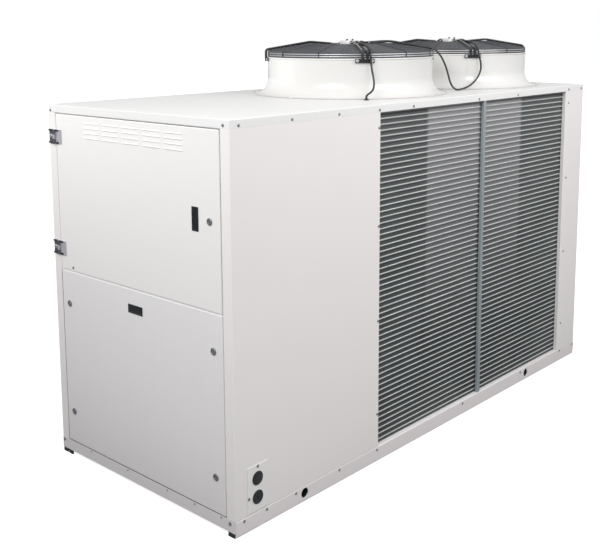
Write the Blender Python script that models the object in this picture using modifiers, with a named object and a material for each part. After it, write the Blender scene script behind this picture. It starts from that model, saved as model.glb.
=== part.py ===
# Air cooled water chiller with two roof fans, in metres, +Z up.
# The front is the short end with the doors and faces -Y. The finned coils fill the long sides.

import math

import bmesh
import bpy
from mathutils import Matrix, Vector

# Cabinet, measured from its left front bottom corner before it is centred
WIDTH = 1.10
LENGTH = 2.65
BODY_HEIGHT = 1.53
SHEET = 0.002
GAP = 0.0003
PANEL_GAP = 0.0025
MOVING_GAP = 0.005

# Base rails and covers
RAIL_HEIGHT = 0.066
RAIL_FLANGE = 0.046
RAIL_WALL = 0.004
COVER_CLEARANCE = 0.018
LIFTING_HOLE_RADIUS = 0.020
LIFTING_HOLE_Z = 0.036
LIFTING_HOLE_FRONT = 0.374
LIFTING_HOLE_REAR = 0.542

# Side panels
FRONT_PANEL_LENGTH = 0.842
REAR_PANEL_LENGTH = 0.200
CORNER_STRIP = 0.0475
RETURN_DEPTH = 0.0225
LANDING_WIDTH = 0.018
COIL_RETURN = 0.020

# Roof
ROOF_LIP = 0.032
ROOF_HOLE_RADIUS = 0.420

# Front end: upper door and lower access panel
SPLIT_HEIGHT = 0.832
DOOR_DEPTH = 0.0165
ACCESS_DEPTH = 0.0222
CROSS_RAIL_HEIGHT = 0.036
CROSS_RAIL_DEPTH = 0.040
CONTROL_BOX_DEPTH = 0.300
CONTROL_PLATE_MARGIN = 0.050
CONTROL_PLATE_DEPTH = 0.014

# Pressed louvres of the door
LOUVRE_ROWS = 4
LOUVRE_COLUMNS = 5
LOUVRE_MARGIN = 0.1905
LOUVRE_BRIDGE = 0.018
LOUVRE_DROP = 0.030
LOUVRE_PITCH_Z = 0.020
LOUVRE_HEIGHT = 0.007
LOUVRE_REACH = 0.0035

# Hinges, on a vertical pin in front of the left corner strip
HINGE_X = 0.045
HINGE_REACH = 0.0075
HINGE_BARREL_RADIUS = 0.0055
HINGE_PIN_RADIUS = 0.0022
HINGE_PIN_CLEARANCE = 0.0003
HINGE_HEIGHT = 0.064
HINGE_LEAF = 0.003
HINGE_FIXED_EDGE = 0.006
HINGE_MOVING_EDGE = 0.089
HINGE_UPPER_DROP = 0.096
HINGE_LOWER_RISE = 0.0905

# Handles, locks and turn fasteners
HANDLE_SHORT = 0.037
HANDLE_LONG = 0.093
HANDLE_RIM = 0.003
HANDLE_PROUD = 0.002
HANDLE_RECESS = 0.014
HANDLE_WALL = 0.0015
DOOR_HANDLE_INSET = 0.1345
ACCESS_HANDLE_DROP = 0.080
LOCK_RADIUS = 0.0105
LOCK_PROUD = 0.004
LOCK_INSET = 0.0565
TURN_RADIUS = 0.009
TURN_PROUD = 0.003
TURN_INSET_X = 0.050
TURN_INSET_Z = 0.140

# Gland plate low on the right side panel
GLAND_PLATE_FRONT = 0.062
GLAND_PLATE_LENGTH = 0.102
GLAND_PLATE_RISE = 0.004
GLAND_PLATE_HEIGHT = 0.180
GLAND_PLATE_THICKNESS = 0.0015
PLUG_RADIUS = 0.027
PLUG_PROUD = 0.003
PLUG_SPACING = 0.074

# Finned coils
COIL_DEPTH = 0.066
COIL_TUBE_ROWS = 60
COIL_GROOVE = 0.004
COIL_OVERRUN = 0.130
COIL_BAR_WIDTH = 0.021
COIL_BAR_DEPTH = 0.014
PARTITION_SETBACK = 0.014

# Fans: bell mouth ring, guard, support arms, motor and impeller
FAN_FRONT_Y = 1.312
FAN_PITCH = 0.872
FAN_HEIGHT = 0.175
SHROUD_WALL = 0.003
SHROUD_RADIUS = 0.3925
SHROUD_LIP = 0.003
SHROUD_LIP_HEIGHT = 0.008
FLARE_WIDTH = 0.060
FLARE_HEIGHT = 0.080
BASE_RING_RADIUS = 0.462
SHROUD_STEPS = 40
FLARE_STEPS = 4

GUARD_WIRE = 0.0022
GUARD_RADIUS = 0.391
GUARD_RISE = 0.021
GUARD_DOME = 0.036
GUARD_CREST = 0.200
GUARD_SAG = 0.008
GUARD_EYE = 0.112
GUARD_SPOKES = 12
GUARD_STEPS = 40

ARM_COUNT = 4
ARM_TURN = math.radians(4.0)
ARM_BAR = 0.010
ARM_SPACING = 0.022
ARM_FOOT_DROP = 0.020
ARM_KNEE_Z = 0.209
ARM_PEAK_RADIUS = 0.190
ARM_PEAK_Z = 0.244
ARM_HUB_RADIUS = 0.104
ARM_HUB_Z = 0.231
BRACKET_WIDTH = 0.085
BRACKET_HEIGHT = 0.018
BRACKET_THICKNESS = 0.003

MOTOR_RADIUS = 0.075
MOTOR_HEIGHT = 0.090
MOTOR_SHAFT_RADIUS = 0.015
MOTOR_SHAFT_LENGTH = 0.045
CAP_RADIUS = 0.049
CAP_HEIGHT = 0.018
CAP_NUB_RADIUS = 0.005
CAP_NUB_HEIGHT = 0.006
CAP_NUB_SPACING = 0.034
GLAND_RADIUS = 0.0065
GLAND_LENGTH = 0.022

IMPELLER_TIP_GAP = 0.008
IMPELLER_HUB_RADIUS = 0.115
IMPELLER_HUB_HEIGHT = 0.080
IMPELLER_HUB_TOP_GAP = 0.006
IMPELLER_BLADES = 7
BLADE_THICKNESS = 0.004
BLADE_ROOT_PITCH = 34.0
BLADE_TIP_PITCH = 17.0
BLADE_ROOT_CHORD = 0.125
BLADE_TIP_CHORD = 0.170
BLADE_SWEEP = 22.0
BLADE_SPANS = 4
BLADE_CHORDS = 3
SHAFT_CLEARANCE = 0.0003

# Fan cables on the roof
CABLE_RADIUS = 0.0045
CABLE_CLEARANCE = 0.002
CABLE_SHORT_POINTS = 50
CABLE_LONG_POINTS = 88
GROMMET_SIDE = 0.365
GROMMET_SETBACK = 0.331
GROMMET_RADIUS = 0.013
GROMMET_HEIGHT = 0.007

# Derived places
FAN_X = WIDTH / 2
FAN_REAR_Y = FAN_FRONT_Y + FAN_PITCH
PANEL_BOTTOM = RAIL_HEIGHT + GAP
PANEL_TOP = BODY_HEIGHT - ROOF_LIP - GAP
ROOF_UNDERSIDE = BODY_HEIGHT - SHEET
PAN_TOP = PANEL_BOTTOM + SHEET
PARTITION_Y = FRONT_PANEL_LENGTH - PARTITION_SETBACK
COIL_FACE = COIL_RETURN + GAP
REAR_PANEL_START = LENGTH - REAR_PANEL_LENGTH
LANDING_Y = RETURN_DEPTH + SHEET
CROSS_RAIL_Z = SPLIT_HEIGHT - CROSS_RAIL_HEIGHT / 2
DOOR_LEFT = CORNER_STRIP + MOVING_GAP
DOOR_RIGHT = WIDTH - DOOR_LEFT
DOOR_BOTTOM = SPLIT_HEIGHT + MOVING_GAP / 2
DOOR_TOP = PANEL_TOP - MOVING_GAP
DOOR_MIDDLE = (DOOR_BOTTOM + DOOR_TOP) / 2
LOUVRE_ROW_WIDTH = DOOR_RIGHT - DOOR_LEFT - 2 * LOUVRE_MARGIN
LOUVRE_LENGTH = (LOUVRE_ROW_WIDTH - (LOUVRE_COLUMNS - 1) * LOUVRE_BRIDGE) / LOUVRE_COLUMNS
ACCESS_LEFT = CORNER_STRIP + PANEL_GAP
ACCESS_BOTTOM = RAIL_HEIGHT + PANEL_GAP
ACCESS_TOP = SPLIT_HEIGHT - MOVING_GAP / 2
BAR_Y = (FRONT_PANEL_LENGTH + REAR_PANEL_START) / 2 - COIL_BAR_WIDTH / 2
FRONT_REACH = HINGE_REACH + HINGE_BARREL_RADIUS
SIDE_REACH = GLAND_PLATE_THICKNESS + PLUG_PROUD + 2 * GAP
RIM_TOP = BODY_HEIGHT + FAN_HEIGHT
FRONT_ARM = -math.pi / 4 + ARM_TURN
REAR_ARM = math.pi / 4 + ARM_TURN


# Scene, materials and basic operations

def clear_scene():
    for item in list(bpy.data.objects):
        bpy.data.objects.remove(item, do_unlink=True)


def collection(name):
    group = bpy.data.collections.new(name)
    bpy.context.scene.collection.children.link(group)
    return group


def material(name, color, roughness, metallic=0.0):
    result = bpy.data.materials.new(name)
    result.use_nodes = True
    shader = result.node_tree.nodes["Principled BSDF"]
    shader.inputs["Base Color"].default_value = (*color, 1.0)
    shader.inputs["Roughness"].default_value = roughness
    shader.inputs["Metallic"].default_value = metallic
    result.diffuse_color = (*color, 1.0)
    return result


clear_scene()
PARTS = collection("water_chiller")
CUTTERS = collection("cutters")
WHITE = material("white_enamel", (0.86, 0.85, 0.83), 0.38)
GALVANISED = material("galvanised_steel", (0.60, 0.62, 0.64), 0.42, 0.9)
HINGE_METAL = material("hinge_metal", (0.50, 0.51, 0.54), 0.35, 0.9)
BLACK = material("black_plastic", (0.03, 0.03, 0.032), 0.5)
WIRE_PAINT = material("dark_wire_paint", (0.10, 0.10, 0.11), 0.45)
COIL_METAL = material("coil_fins", (0.16, 0.18, 0.17), 0.5, 0.6)
MOTOR_PAINT = material("motor_grey", (0.30, 0.31, 0.33), 0.5)

ORIGIN = bpy.data.objects.new("chiller_origin", None)
PARTS.objects.link(ORIGIN)
ORIGIN.location = (-(WIDTH + SIDE_REACH) / 2, -(LENGTH - FRONT_REACH) / 2, 0.0)


def place(name, mesh, finish, smooth=False, guide=False, parent=None):
    item = bpy.data.objects.new(name, mesh)
    if guide:
        CUTTERS.objects.link(item)
        item.hide_render = True
        item.display_type = "WIRE"
    else:
        PARTS.objects.link(item)
        mesh.materials.clear()
        mesh.materials.append(finish)
    if smooth:
        mesh.shade_smooth()
        mesh.set_sharp_from_angle(angle=math.radians(35))
    item.parent = parent or ORIGIN
    return item


def from_bmesh(name, shape, finish, smooth=False, guide=False, parent=None):
    mesh = bpy.data.meshes.new(name)
    shape.to_mesh(mesh)
    shape.free()
    return place(name, mesh, finish, smooth, guide, parent)


def add_box(shape, low, high):
    size = Vector(high) - Vector(low)
    centre = (Vector(high) + Vector(low)) / 2
    matrix = Matrix.Translation(centre) @ Matrix.Diagonal((*size, 1.0))
    return bmesh.ops.create_cube(shape, size=1.0, matrix=matrix)["verts"]


def box(name, low, high, finish, guide=False, parent=None):
    shape = bmesh.new()
    add_box(shape, low, high)
    return from_bmesh(name, shape, finish, guide=guide, parent=parent)


def add_cylinder(shape, base, direction, radius, height, sides=24):
    turn = Vector(direction).to_track_quat("Z", "Y").to_matrix().to_4x4()
    lift = Matrix.Translation((0.0, 0.0, height / 2))
    matrix = Matrix.Translation(Vector(base)) @ turn @ lift
    bmesh.ops.create_cone(shape, cap_ends=True, segments=sides, radius1=radius,
                          radius2=radius, depth=height, matrix=matrix)


def cylinder(name, base, direction, radius, height, finish, sides=24, guide=False):
    shape = bmesh.new()
    add_cylinder(shape, base, direction, radius, height, sides)
    return from_bmesh(name, shape, finish, smooth=not guide, guide=guide)


def solidify(item, thickness, offset):
    shell = item.modifiers.new("sheet", "SOLIDIFY")
    shell.thickness = thickness
    shell.offset = offset
    shell.use_even_offset = True


def boolean(item, other, operation):
    step = item.modifiers.new(operation.lower(), "BOOLEAN")
    step.operation = operation
    step.object = other
    step.solver = "EXACT"


def tray(name, low, high, finish, open_side, thickness=SHEET):
    """A folded tray: a box without its face towards open_side, with its wall inside."""
    shape = bmesh.new()
    add_box(shape, low, high)
    shape.normal_update()
    mouth = [face for face in shape.faces if face.normal.dot(Vector(open_side)) > 0.9]
    bmesh.ops.delete(shape, geom=mouth, context="FACES_ONLY")
    item = from_bmesh(name, shape, finish)
    solidify(item, thickness, -1.0)
    return item


AXES = {"X": lambda a, b, h: (h, a, b), "Y": lambda a, b, h: (a, h, b), "Z": lambda a, b, h: (a, b, h)}


def folded_sheet(name, outline, axis, low, high, finish, thickness=SHEET, parent=None):
    """A strip folded along an open outline of midline points, extruded along an axis."""
    shape = bmesh.new()
    corners = [shape.verts.new(AXES[axis](a, b, low)) for a, b in outline]
    folds = [shape.edges.new(pair) for pair in zip(corners, corners[1:])]
    grown = bmesh.ops.extrude_edge_only(shape, edges=folds)["geom"]
    tips = [part for part in grown if isinstance(part, bmesh.types.BMVert)]
    run = Vector(AXES[axis](0.0, 0.0, high - low))
    bmesh.ops.translate(shape, verts=tips, vec=run)
    item = from_bmesh(name, shape, finish, parent=parent)
    solidify(item, thickness, 0.0)
    return item


def across(points, mirrored):
    """Points on the right side of the cabinet, or the same points on its left side."""
    return [(WIDTH - a, b) for a, b in points] if mirrored else points


# Base

def base_rails():
    half = RAIL_WALL / 2
    inner = WIDTH - RAIL_FLANGE
    outline = [(inner, RAIL_HEIGHT - half), (WIDTH - half, RAIL_HEIGHT - half),
               (WIDTH - half, half), (inner, half)]
    for side, mirrored in (("right", False), ("left", True)):
        rail = folded_sheet(f"base_rail_{side}", across(outline, mirrored), "Y",
                            SHEET + GAP, LENGTH - SHEET - GAP, WHITE, RAIL_WALL)
        edge = 0.0 if mirrored else WIDTH
        for label, y in (("front", LIFTING_HOLE_FRONT), ("rear", LENGTH - LIFTING_HOLE_REAR)):
            start = (edge - 2 * RAIL_WALL, y, LIFTING_HOLE_Z)
            drill = cylinder(f"lifting_drill_{side}_{label}", start, (1, 0, 0),
                             LIFTING_HOLE_RADIUS, 4 * RAIL_WALL, WHITE, guide=True)
            boolean(rail, drill, "DIFFERENCE")


def base_covers():
    for side, low in (("front", 0.0), ("back", LENGTH - SHEET)):
        box(f"base_cover_{side}", (0.0, low, COVER_CLEARANCE),
            (WIDTH, low + SHEET, RAIL_HEIGHT), WHITE)


def floor_pan():
    box("floor_pan", (COIL_FACE, LANDING_Y + GAP, PANEL_BOTTOM),
        (WIDTH - COIL_FACE, LENGTH - LANDING_Y - GAP, PAN_TOP), GALVANISED)


# Body panels

def corner_outline(face_y, inward):
    """The corner strip with its return and landing flange, outside face at face_y."""
    half = SHEET / 2
    strip = WIDTH - CORNER_STRIP + half
    depth = face_y + inward * (RETURN_DEPTH + half)
    return [(strip - LANDING_WIDTH, depth), (strip, depth), (strip, face_y + inward * half),
            (WIDTH - half, face_y + inward * half)]


def side_panels():
    half = SHEET / 2
    for side, mirrored in (("right", False), ("left", True)):
        front = corner_outline(0.0, 1) + [(WIDTH - half, FRONT_PANEL_LENGTH - half),
                                          (WIDTH - COIL_RETURN, FRONT_PANEL_LENGTH - half)]
        rear = corner_outline(LENGTH, -1) + [(WIDTH - half, REAR_PANEL_START + half),
                                             (WIDTH - COIL_RETURN, REAR_PANEL_START + half)]
        folded_sheet(f"side_panel_front_{side}", across(front, mirrored), "Z",
                     PANEL_BOTTOM, PANEL_TOP, WHITE)
        folded_sheet(f"side_panel_rear_{side}", across(rear, mirrored), "Z",
                     PANEL_BOTTOM, PANEL_TOP, WHITE)


def rear_panel():
    tray("rear_panel", (CORNER_STRIP + PANEL_GAP, LENGTH - ACCESS_DEPTH, RAIL_HEIGHT + PANEL_GAP),
         (WIDTH - CORNER_STRIP - PANEL_GAP, LENGTH, PANEL_TOP - PANEL_GAP), WHITE, (0, -1, 0))


def roof_panel():
    roof = tray("roof_panel", (0.0, 0.0, BODY_HEIGHT - ROOF_LIP), (WIDTH, LENGTH, BODY_HEIGHT),
                WHITE, (0, 0, -1))
    for label, y in (("front", FAN_FRONT_Y), ("rear", FAN_REAR_Y)):
        drill = cylinder(f"roof_drill_{label}", (FAN_X, y, BODY_HEIGHT - 2 * SHEET), (0, 0, 1),
                         ROOF_HOLE_RADIUS, 4 * SHEET, WHITE, sides=SHROUD_STEPS, guide=True)
        boolean(roof, drill, "DIFFERENCE")


def partition():
    box("partition", (SHEET + GAP, PARTITION_Y - SHEET, PAN_TOP + GAP),
        (WIDTH - SHEET - GAP, PARTITION_Y, ROOF_UNDERSIDE - GAP), GALVANISED)


# Coils

def coils():
    """Each coil is a slab whose outer face has one rounded groove between tube rows."""
    low = PAN_TOP + GAP
    high = ROOF_UNDERSIDE - GAP
    pitch = (high - low) / COIL_TUBE_ROWS
    outer = WIDTH - COIL_FACE - GAP
    face = []
    for row in range(COIL_TUBE_ROWS):
        z = low + row * pitch
        face += [(outer - COIL_GROOVE, z), (outer, z + pitch * 0.35), (outer, z + pitch * 0.75)]
    face += [(outer - COIL_GROOVE, high), (outer - COIL_DEPTH, high), (outer - COIL_DEPTH, low)]
    start = PARTITION_Y + GAP
    end = REAR_PANEL_START + COIL_OVERRUN
    for side, mirrored in (("right", False), ("left", True)):
        shape = bmesh.new()
        rim = [shape.verts.new((x, start, z)) for x, z in across(face, mirrored)]
        cap = shape.faces.new(rim)
        grown = bmesh.ops.extrude_face_region(shape, geom=[cap])["geom"]
        tips = [part for part in grown if isinstance(part, bmesh.types.BMVert)]
        bmesh.ops.translate(shape, verts=tips, vec=(0.0, end - start, 0.0))
        bmesh.ops.recalc_face_normals(shape, faces=shape.faces)
        from_bmesh(f"coil_{side}", shape, COIL_METAL)
        low_x = WIDTH - SHEET - GAP - COIL_BAR_DEPTH
        high_x = WIDTH - SHEET - GAP
        if mirrored:
            low_x, high_x = WIDTH - high_x, WIDTH - low_x
        tray(f"coil_bar_{side}", (low_x, BAR_Y, PANEL_BOTTOM),
             (high_x, BAR_Y + COIL_BAR_WIDTH, ROOF_UNDERSIDE - GAP), GALVANISED,
             (1 if mirrored else -1, 0, 0))


# Front end

def add_louvres(door, face_y):
    """Pressed hoods with a slit under each, in rows near the top of the door."""
    hoods = bmesh.new()
    slits = bmesh.new()
    for row in range(LOUVRE_ROWS):
        z = DOOR_TOP - LOUVRE_DROP - row * LOUVRE_PITCH_Z
        for column in range(LOUVRE_COLUMNS):
            x = DOOR_LEFT + LOUVRE_MARGIN + column * (LOUVRE_LENGTH + LOUVRE_BRIDGE)
            corners = add_box(hoods, (x, face_y - LOUVRE_REACH, z),
                              (x + LOUVRE_LENGTH, face_y + SHEET / 2, z + LOUVRE_HEIGHT))
            for corner in corners:
                if corner.co.y < face_y and corner.co.z > z + LOUVRE_HEIGHT / 2:
                    corner.co.y = face_y - LOUVRE_REACH * 0.2
            add_box(slits, (x + SHEET, face_y - LOUVRE_REACH * 0.6, z - SHEET),
                    (x + LOUVRE_LENGTH - SHEET, face_y + 2 * SHEET, z + SHEET))
    boolean(door, from_bmesh("louvre_hoods", hoods, WHITE, guide=True), "UNION")
    boolean(door, from_bmesh("louvre_slits", slits, WHITE, guide=True), "DIFFERENCE")


def handle(name, panel, x, z, width, height):
    """A recessed pull: a dished cup through the panel with a thin rim in front of it."""
    cup_w = width / 2 - HANDLE_RIM
    cup_h = height / 2 - HANDLE_RIM
    reach = cup_w + GAP, cup_h + GAP
    window = box(f"{name}_window", (x - reach[0], -SHEET, z - reach[1]),
                 (x + reach[0], 2 * SHEET, z + reach[1]), WHITE, guide=True)
    boolean(panel, window, "DIFFERENCE")
    body = box(name, (x - width / 2, -HANDLE_PROUD - GAP, z - height / 2),
               (x + width / 2, -GAP, z + height / 2), BLACK)
    cup = box(f"{name}_cup", (x - cup_w, -GAP - HANDLE_PROUD / 2, z - cup_h),
              (x + cup_w, HANDLE_RECESS, z + cup_h), BLACK, guide=True)
    inside = box(f"{name}_inside", (x - cup_w + HANDLE_WALL, -3 * HANDLE_PROUD, z - cup_h + HANDLE_WALL),
                 (x + cup_w - HANDLE_WALL, HANDLE_RECESS - HANDLE_WALL, z + cup_h - HANDLE_WALL),
                 BLACK, guide=True)
    boolean(body, cup, "UNION")
    boolean(body, inside, "DIFFERENCE")


def front_end():
    door = tray("control_door", (DOOR_LEFT, 0.0, DOOR_BOTTOM),
                (DOOR_RIGHT, DOOR_DEPTH, DOOR_TOP), WHITE, (0, 1, 0))
    add_louvres(door, 0.0)
    handle("door_handle", door, DOOR_RIGHT - DOOR_HANDLE_INSET, DOOR_MIDDLE, HANDLE_SHORT, HANDLE_LONG)
    cylinder("door_lock", (DOOR_RIGHT - LOCK_INSET, -GAP - LOCK_PROUD, DOOR_MIDDLE), (0, 1, 0),
             LOCK_RADIUS, LOCK_PROUD, HINGE_METAL)
    access = tray("access_panel", (ACCESS_LEFT, 0.0, ACCESS_BOTTOM),
                  (WIDTH - ACCESS_LEFT, ACCESS_DEPTH, ACCESS_TOP), WHITE, (0, 1, 0))
    handle("access_handle", access, WIDTH / 2, SPLIT_HEIGHT - ACCESS_HANDLE_DROP,
           HANDLE_LONG, HANDLE_SHORT)
    fasteners = bmesh.new()
    side = ACCESS_LEFT + TURN_INSET_X
    for z in (ACCESS_BOTTOM + TURN_INSET_Z, ACCESS_TOP - TURN_INSET_Z):
        for x in (side, WIDTH - side):
            add_cylinder(fasteners, (x, -TURN_PROUD, z), (0, 1, 0), TURN_RADIUS,
                         TURN_PROUD + SHEET / 2, 16)
    boolean(access, from_bmesh("turn_fasteners", fasteners, WHITE, guide=True), "UNION")
    rear_edge = LANDING_Y + GAP
    half = SHEET / 2
    folded_sheet("front_cross_rail",
                 [(rear_edge + CROSS_RAIL_DEPTH, CROSS_RAIL_Z + half),
                  (rear_edge + half, CROSS_RAIL_Z + half),
                  (rear_edge + half, CROSS_RAIL_Z + CROSS_RAIL_HEIGHT - half),
                  (rear_edge + CROSS_RAIL_DEPTH, CROSS_RAIL_Z + CROSS_RAIL_HEIGHT - half)],
                 "X", SHEET + GAP, WIDTH - SHEET - GAP, GALVANISED)
    floor = CROSS_RAIL_Z + CROSS_RAIL_HEIGHT + GAP
    back = rear_edge + CONTROL_BOX_DEPTH
    compartment = tray("control_box", (SHEET + GAP, rear_edge, floor),
                       (WIDTH - SHEET - GAP, back, ROOF_UNDERSIDE - GAP), GALVANISED, (0, -1, 0))
    plate = box("control_plate", (CONTROL_PLATE_MARGIN, back - SHEET - CONTROL_PLATE_DEPTH,
                                  floor + CONTROL_PLATE_MARGIN),
                (WIDTH - CONTROL_PLATE_MARGIN, back - SHEET / 2, PANEL_TOP - CONTROL_PLATE_MARGIN),
                GALVANISED, guide=True)
    boolean(compartment, plate, "UNION")


def hinge(label, middle_z):
    """Two leaves and a pin; the moving barrel sits between the two fixed ones."""
    third = HINGE_HEIGHT / 3
    low = middle_z - HINGE_HEIGHT / 2
    high = middle_z + HINGE_HEIGHT / 2
    front, back = -GAP - HINGE_LEAF, -GAP
    clear = HINGE_BARREL_RADIUS + HINGE_PIN_CLEARANCE * 4
    fixed = box(f"hinge_fixed_{label}", (HINGE_FIXED_EDGE, front, low),
                (HINGE_X - clear, back, high), HINGE_METAL)
    moving = box(f"hinge_moving_{label}", (HINGE_X + clear, front, low),
                 (HINGE_MOVING_EDGE, back, high), HINGE_METAL)
    knuckles = bmesh.new()
    pin = bmesh.new()
    for z in (low, high - third):
        add_cylinder(knuckles, (HINGE_X, -HINGE_REACH, z), (0, 0, 1), HINGE_BARREL_RADIUS, third, 16)
    webs = bmesh.new()
    for z in (low, high - third):
        add_box(webs, (HINGE_X - clear - SHEET, front, z),
                (HINGE_X - HINGE_BARREL_RADIUS / 2, back, z + third))
    add_cylinder(pin, (HINGE_X, -HINGE_REACH, low + third / 2), (0, 0, 1), HINGE_PIN_RADIUS,
                 HINGE_HEIGHT - third, 12)
    boolean(fixed, from_bmesh(f"hinge_webs_{label}", webs, HINGE_METAL, guide=True), "UNION")
    boolean(fixed, from_bmesh(f"hinge_knuckles_{label}", knuckles, HINGE_METAL, guide=True), "UNION")
    boolean(fixed, from_bmesh(f"hinge_pin_{label}", pin, HINGE_METAL, guide=True), "UNION")
    bottom = low + third + HINGE_PIN_CLEARANCE
    height = third - 2 * HINGE_PIN_CLEARANCE
    web = box(f"hinge_moving_web_{label}", (HINGE_X + HINGE_BARREL_RADIUS / 2, front, bottom),
              (HINGE_X + clear + SHEET, back, bottom + height), HINGE_METAL, guide=True)
    barrel = cylinder(f"hinge_moving_barrel_{label}", (HINGE_X, -HINGE_REACH, bottom), (0, 0, 1),
                      HINGE_BARREL_RADIUS, height, HINGE_METAL, sides=16, guide=True)
    bore = cylinder(f"hinge_bore_{label}", (HINGE_X, -HINGE_REACH, bottom - SHEET), (0, 0, 1),
                    HINGE_PIN_RADIUS + HINGE_PIN_CLEARANCE, height + 2 * SHEET, HINGE_METAL,
                    sides=12, guide=True)
    boolean(moving, web, "UNION")
    boolean(moving, barrel, "UNION")
    boolean(moving, bore, "DIFFERENCE")


def gland_plate():
    middle = GLAND_PLATE_FRONT + GLAND_PLATE_LENGTH / 2
    outer = WIDTH + GAP + GLAND_PLATE_THICKNESS
    low = PANEL_BOTTOM + GLAND_PLATE_RISE
    high = low + GLAND_PLATE_HEIGHT
    box("gland_plate", (WIDTH + GAP, GLAND_PLATE_FRONT, low),
        (outer, GLAND_PLATE_FRONT + GLAND_PLATE_LENGTH, high), WHITE)
    for label, side in (("upper", 1), ("lower", -1)):
        z = (low + high + side * PLUG_SPACING) / 2
        cylinder(f"gland_plug_{label}", (outer + GAP, middle, z), (1, 0, 0), PLUG_RADIUS,
                 PLUG_PROUD, BLACK)


# Fans

def turned(name, profile, finish, centre, steps):
    """A closed profile of radius and height, turned round the fan's vertical axis."""
    shape = bmesh.new()
    rim = [shape.verts.new((radius, 0.0, height)) for radius, height in profile]
    for first, second in zip(rim, rim[1:] + rim[:1]):
        shape.edges.new((first, second))
    item = from_bmesh(name, shape, finish, smooth=True)
    item.location = centre
    turn = item.modifiers.new("turn", "SCREW")
    turn.steps = steps
    turn.render_steps = steps
    turn.use_merge_vertices = True
    turn.merge_threshold = 0.0001
    return item


def shroud(name, centre_y, clip_sign):
    """The bell mouth: a lip, a straight wall, a flare and a flat ring on the roof."""
    top = FAN_HEIGHT
    wall = SHROUD_WALL
    axis_r = SHROUD_RADIUS + FLARE_WIDTH
    outer = [(SHROUD_RADIUS + SHROUD_LIP, top), (SHROUD_RADIUS + SHROUD_LIP, top - SHROUD_LIP_HEIGHT * 0.6),
             (SHROUD_RADIUS, top - SHROUD_LIP_HEIGHT)]
    inner = []
    for step in range(FLARE_STEPS + 1):
        angle = math.pi + step / FLARE_STEPS * math.pi / 2
        outer.append((axis_r + FLARE_WIDTH * math.cos(angle),
                      FLARE_HEIGHT + GAP + (FLARE_HEIGHT - wall) * math.sin(angle)))
        inner.append((axis_r + (FLARE_WIDTH + wall) * math.cos(angle),
                      FLARE_HEIGHT + GAP + FLARE_HEIGHT * math.sin(angle)))
    outer += [(BASE_RING_RADIUS, wall + GAP), (BASE_RING_RADIUS, GAP)]
    profile = outer + inner[::-1] + [(SHROUD_RADIUS - wall, top)]
    item = turned(name, profile, WHITE, (FAN_X, centre_y, BODY_HEIGHT), SHROUD_STEPS)
    middle = FAN_FRONT_Y + FAN_PITCH / 2 + clip_sign * GAP
    limits = sorted((middle, middle + clip_sign * -FAN_PITCH / 2))
    clip = box(f"{name}_clip", (0.0, limits[0], BODY_HEIGHT - SHEET),
               (WIDTH, limits[1], RIM_TOP), WHITE, guide=True)
    boolean(item, clip, "DIFFERENCE")


def wires(name, paths, radius, resolution):
    """Round wires along open paths, as a closed mesh of separate rods."""
    curve = bpy.data.curves.new(name, "CURVE")
    curve.dimensions = "3D"
    curve.bevel_depth = radius
    curve.bevel_resolution = resolution
    curve.use_fill_caps = True
    for path in paths:
        line = curve.splines.new("POLY")
        line.points.add(len(path) - 1)
        for point, place_ in zip(line.points, path):
            point.co = (*place_, 1.0)
    source = bpy.data.objects.new(f"{name}_path", curve)
    CUTTERS.objects.link(source)
    bpy.context.view_layer.update()
    depsgraph = bpy.context.evaluated_depsgraph_get()
    mesh = bpy.data.meshes.new_from_object(source.evaluated_get(depsgraph))
    bpy.data.objects.remove(source, do_unlink=True)
    shape = bmesh.new()
    shape.from_mesh(mesh)
    bmesh.ops.remove_doubles(shape, verts=shape.verts, dist=0.00002)
    bmesh.ops.recalc_face_normals(shape, faces=shape.faces)
    shape.to_mesh(mesh)
    shape.free()
    return mesh


def guard_profile():
    """The guard's rings as radius and height: foot, rim, crest and the lower eye."""
    foot = FAN_HEIGHT + GUARD_WIRE + GAP
    rim = foot + GUARD_RISE
    crest = rim + GUARD_DOME
    return [(GUARD_RADIUS, foot), (GUARD_RADIUS, rim), (GUARD_CREST, crest),
            (GUARD_EYE, crest - GUARD_SAG)]


def guard(name, centre):
    """Rings of wire tied by spokes, with no spoke where an arm passes over it."""
    profile = guard_profile()
    shape = bmesh.new()
    for radius, height in profile:
        matrix = Matrix.Translation((radius, 0.0, height)) @ Matrix.Rotation(math.pi / 2, 4, "X")
        loop = bmesh.ops.create_circle(shape, segments=4, radius=GUARD_WIRE, matrix=matrix)["verts"]
        edges = list({edge for vert in loop for edge in vert.link_edges})
        bmesh.ops.spin(shape, geom=loop + edges, cent=(0, 0, 0), axis=(0, 0, 1), angle=math.tau,
                       steps=GUARD_STEPS, use_merge=True, use_duplicate=False)
    bmesh.ops.recalc_face_normals(shape, faces=shape.faces)
    item = from_bmesh(name, shape, WIRE_PAINT)
    item.location = centre
    paths = []
    for index in range(GUARD_SPOKES):
        if index * ARM_COUNT % GUARD_SPOKES:
            angle = FRONT_ARM + math.tau * index / GUARD_SPOKES
            paths.append([(r * math.cos(angle), r * math.sin(angle), z) for r, z in profile])
    spokes = place(f"{name}_spokes", wires(f"{name}_spokes", paths, GUARD_WIRE * 0.8, 0), WIRE_PAINT,
                   guide=True)
    spokes.location = centre
    boolean(item, spokes, "UNION")


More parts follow.
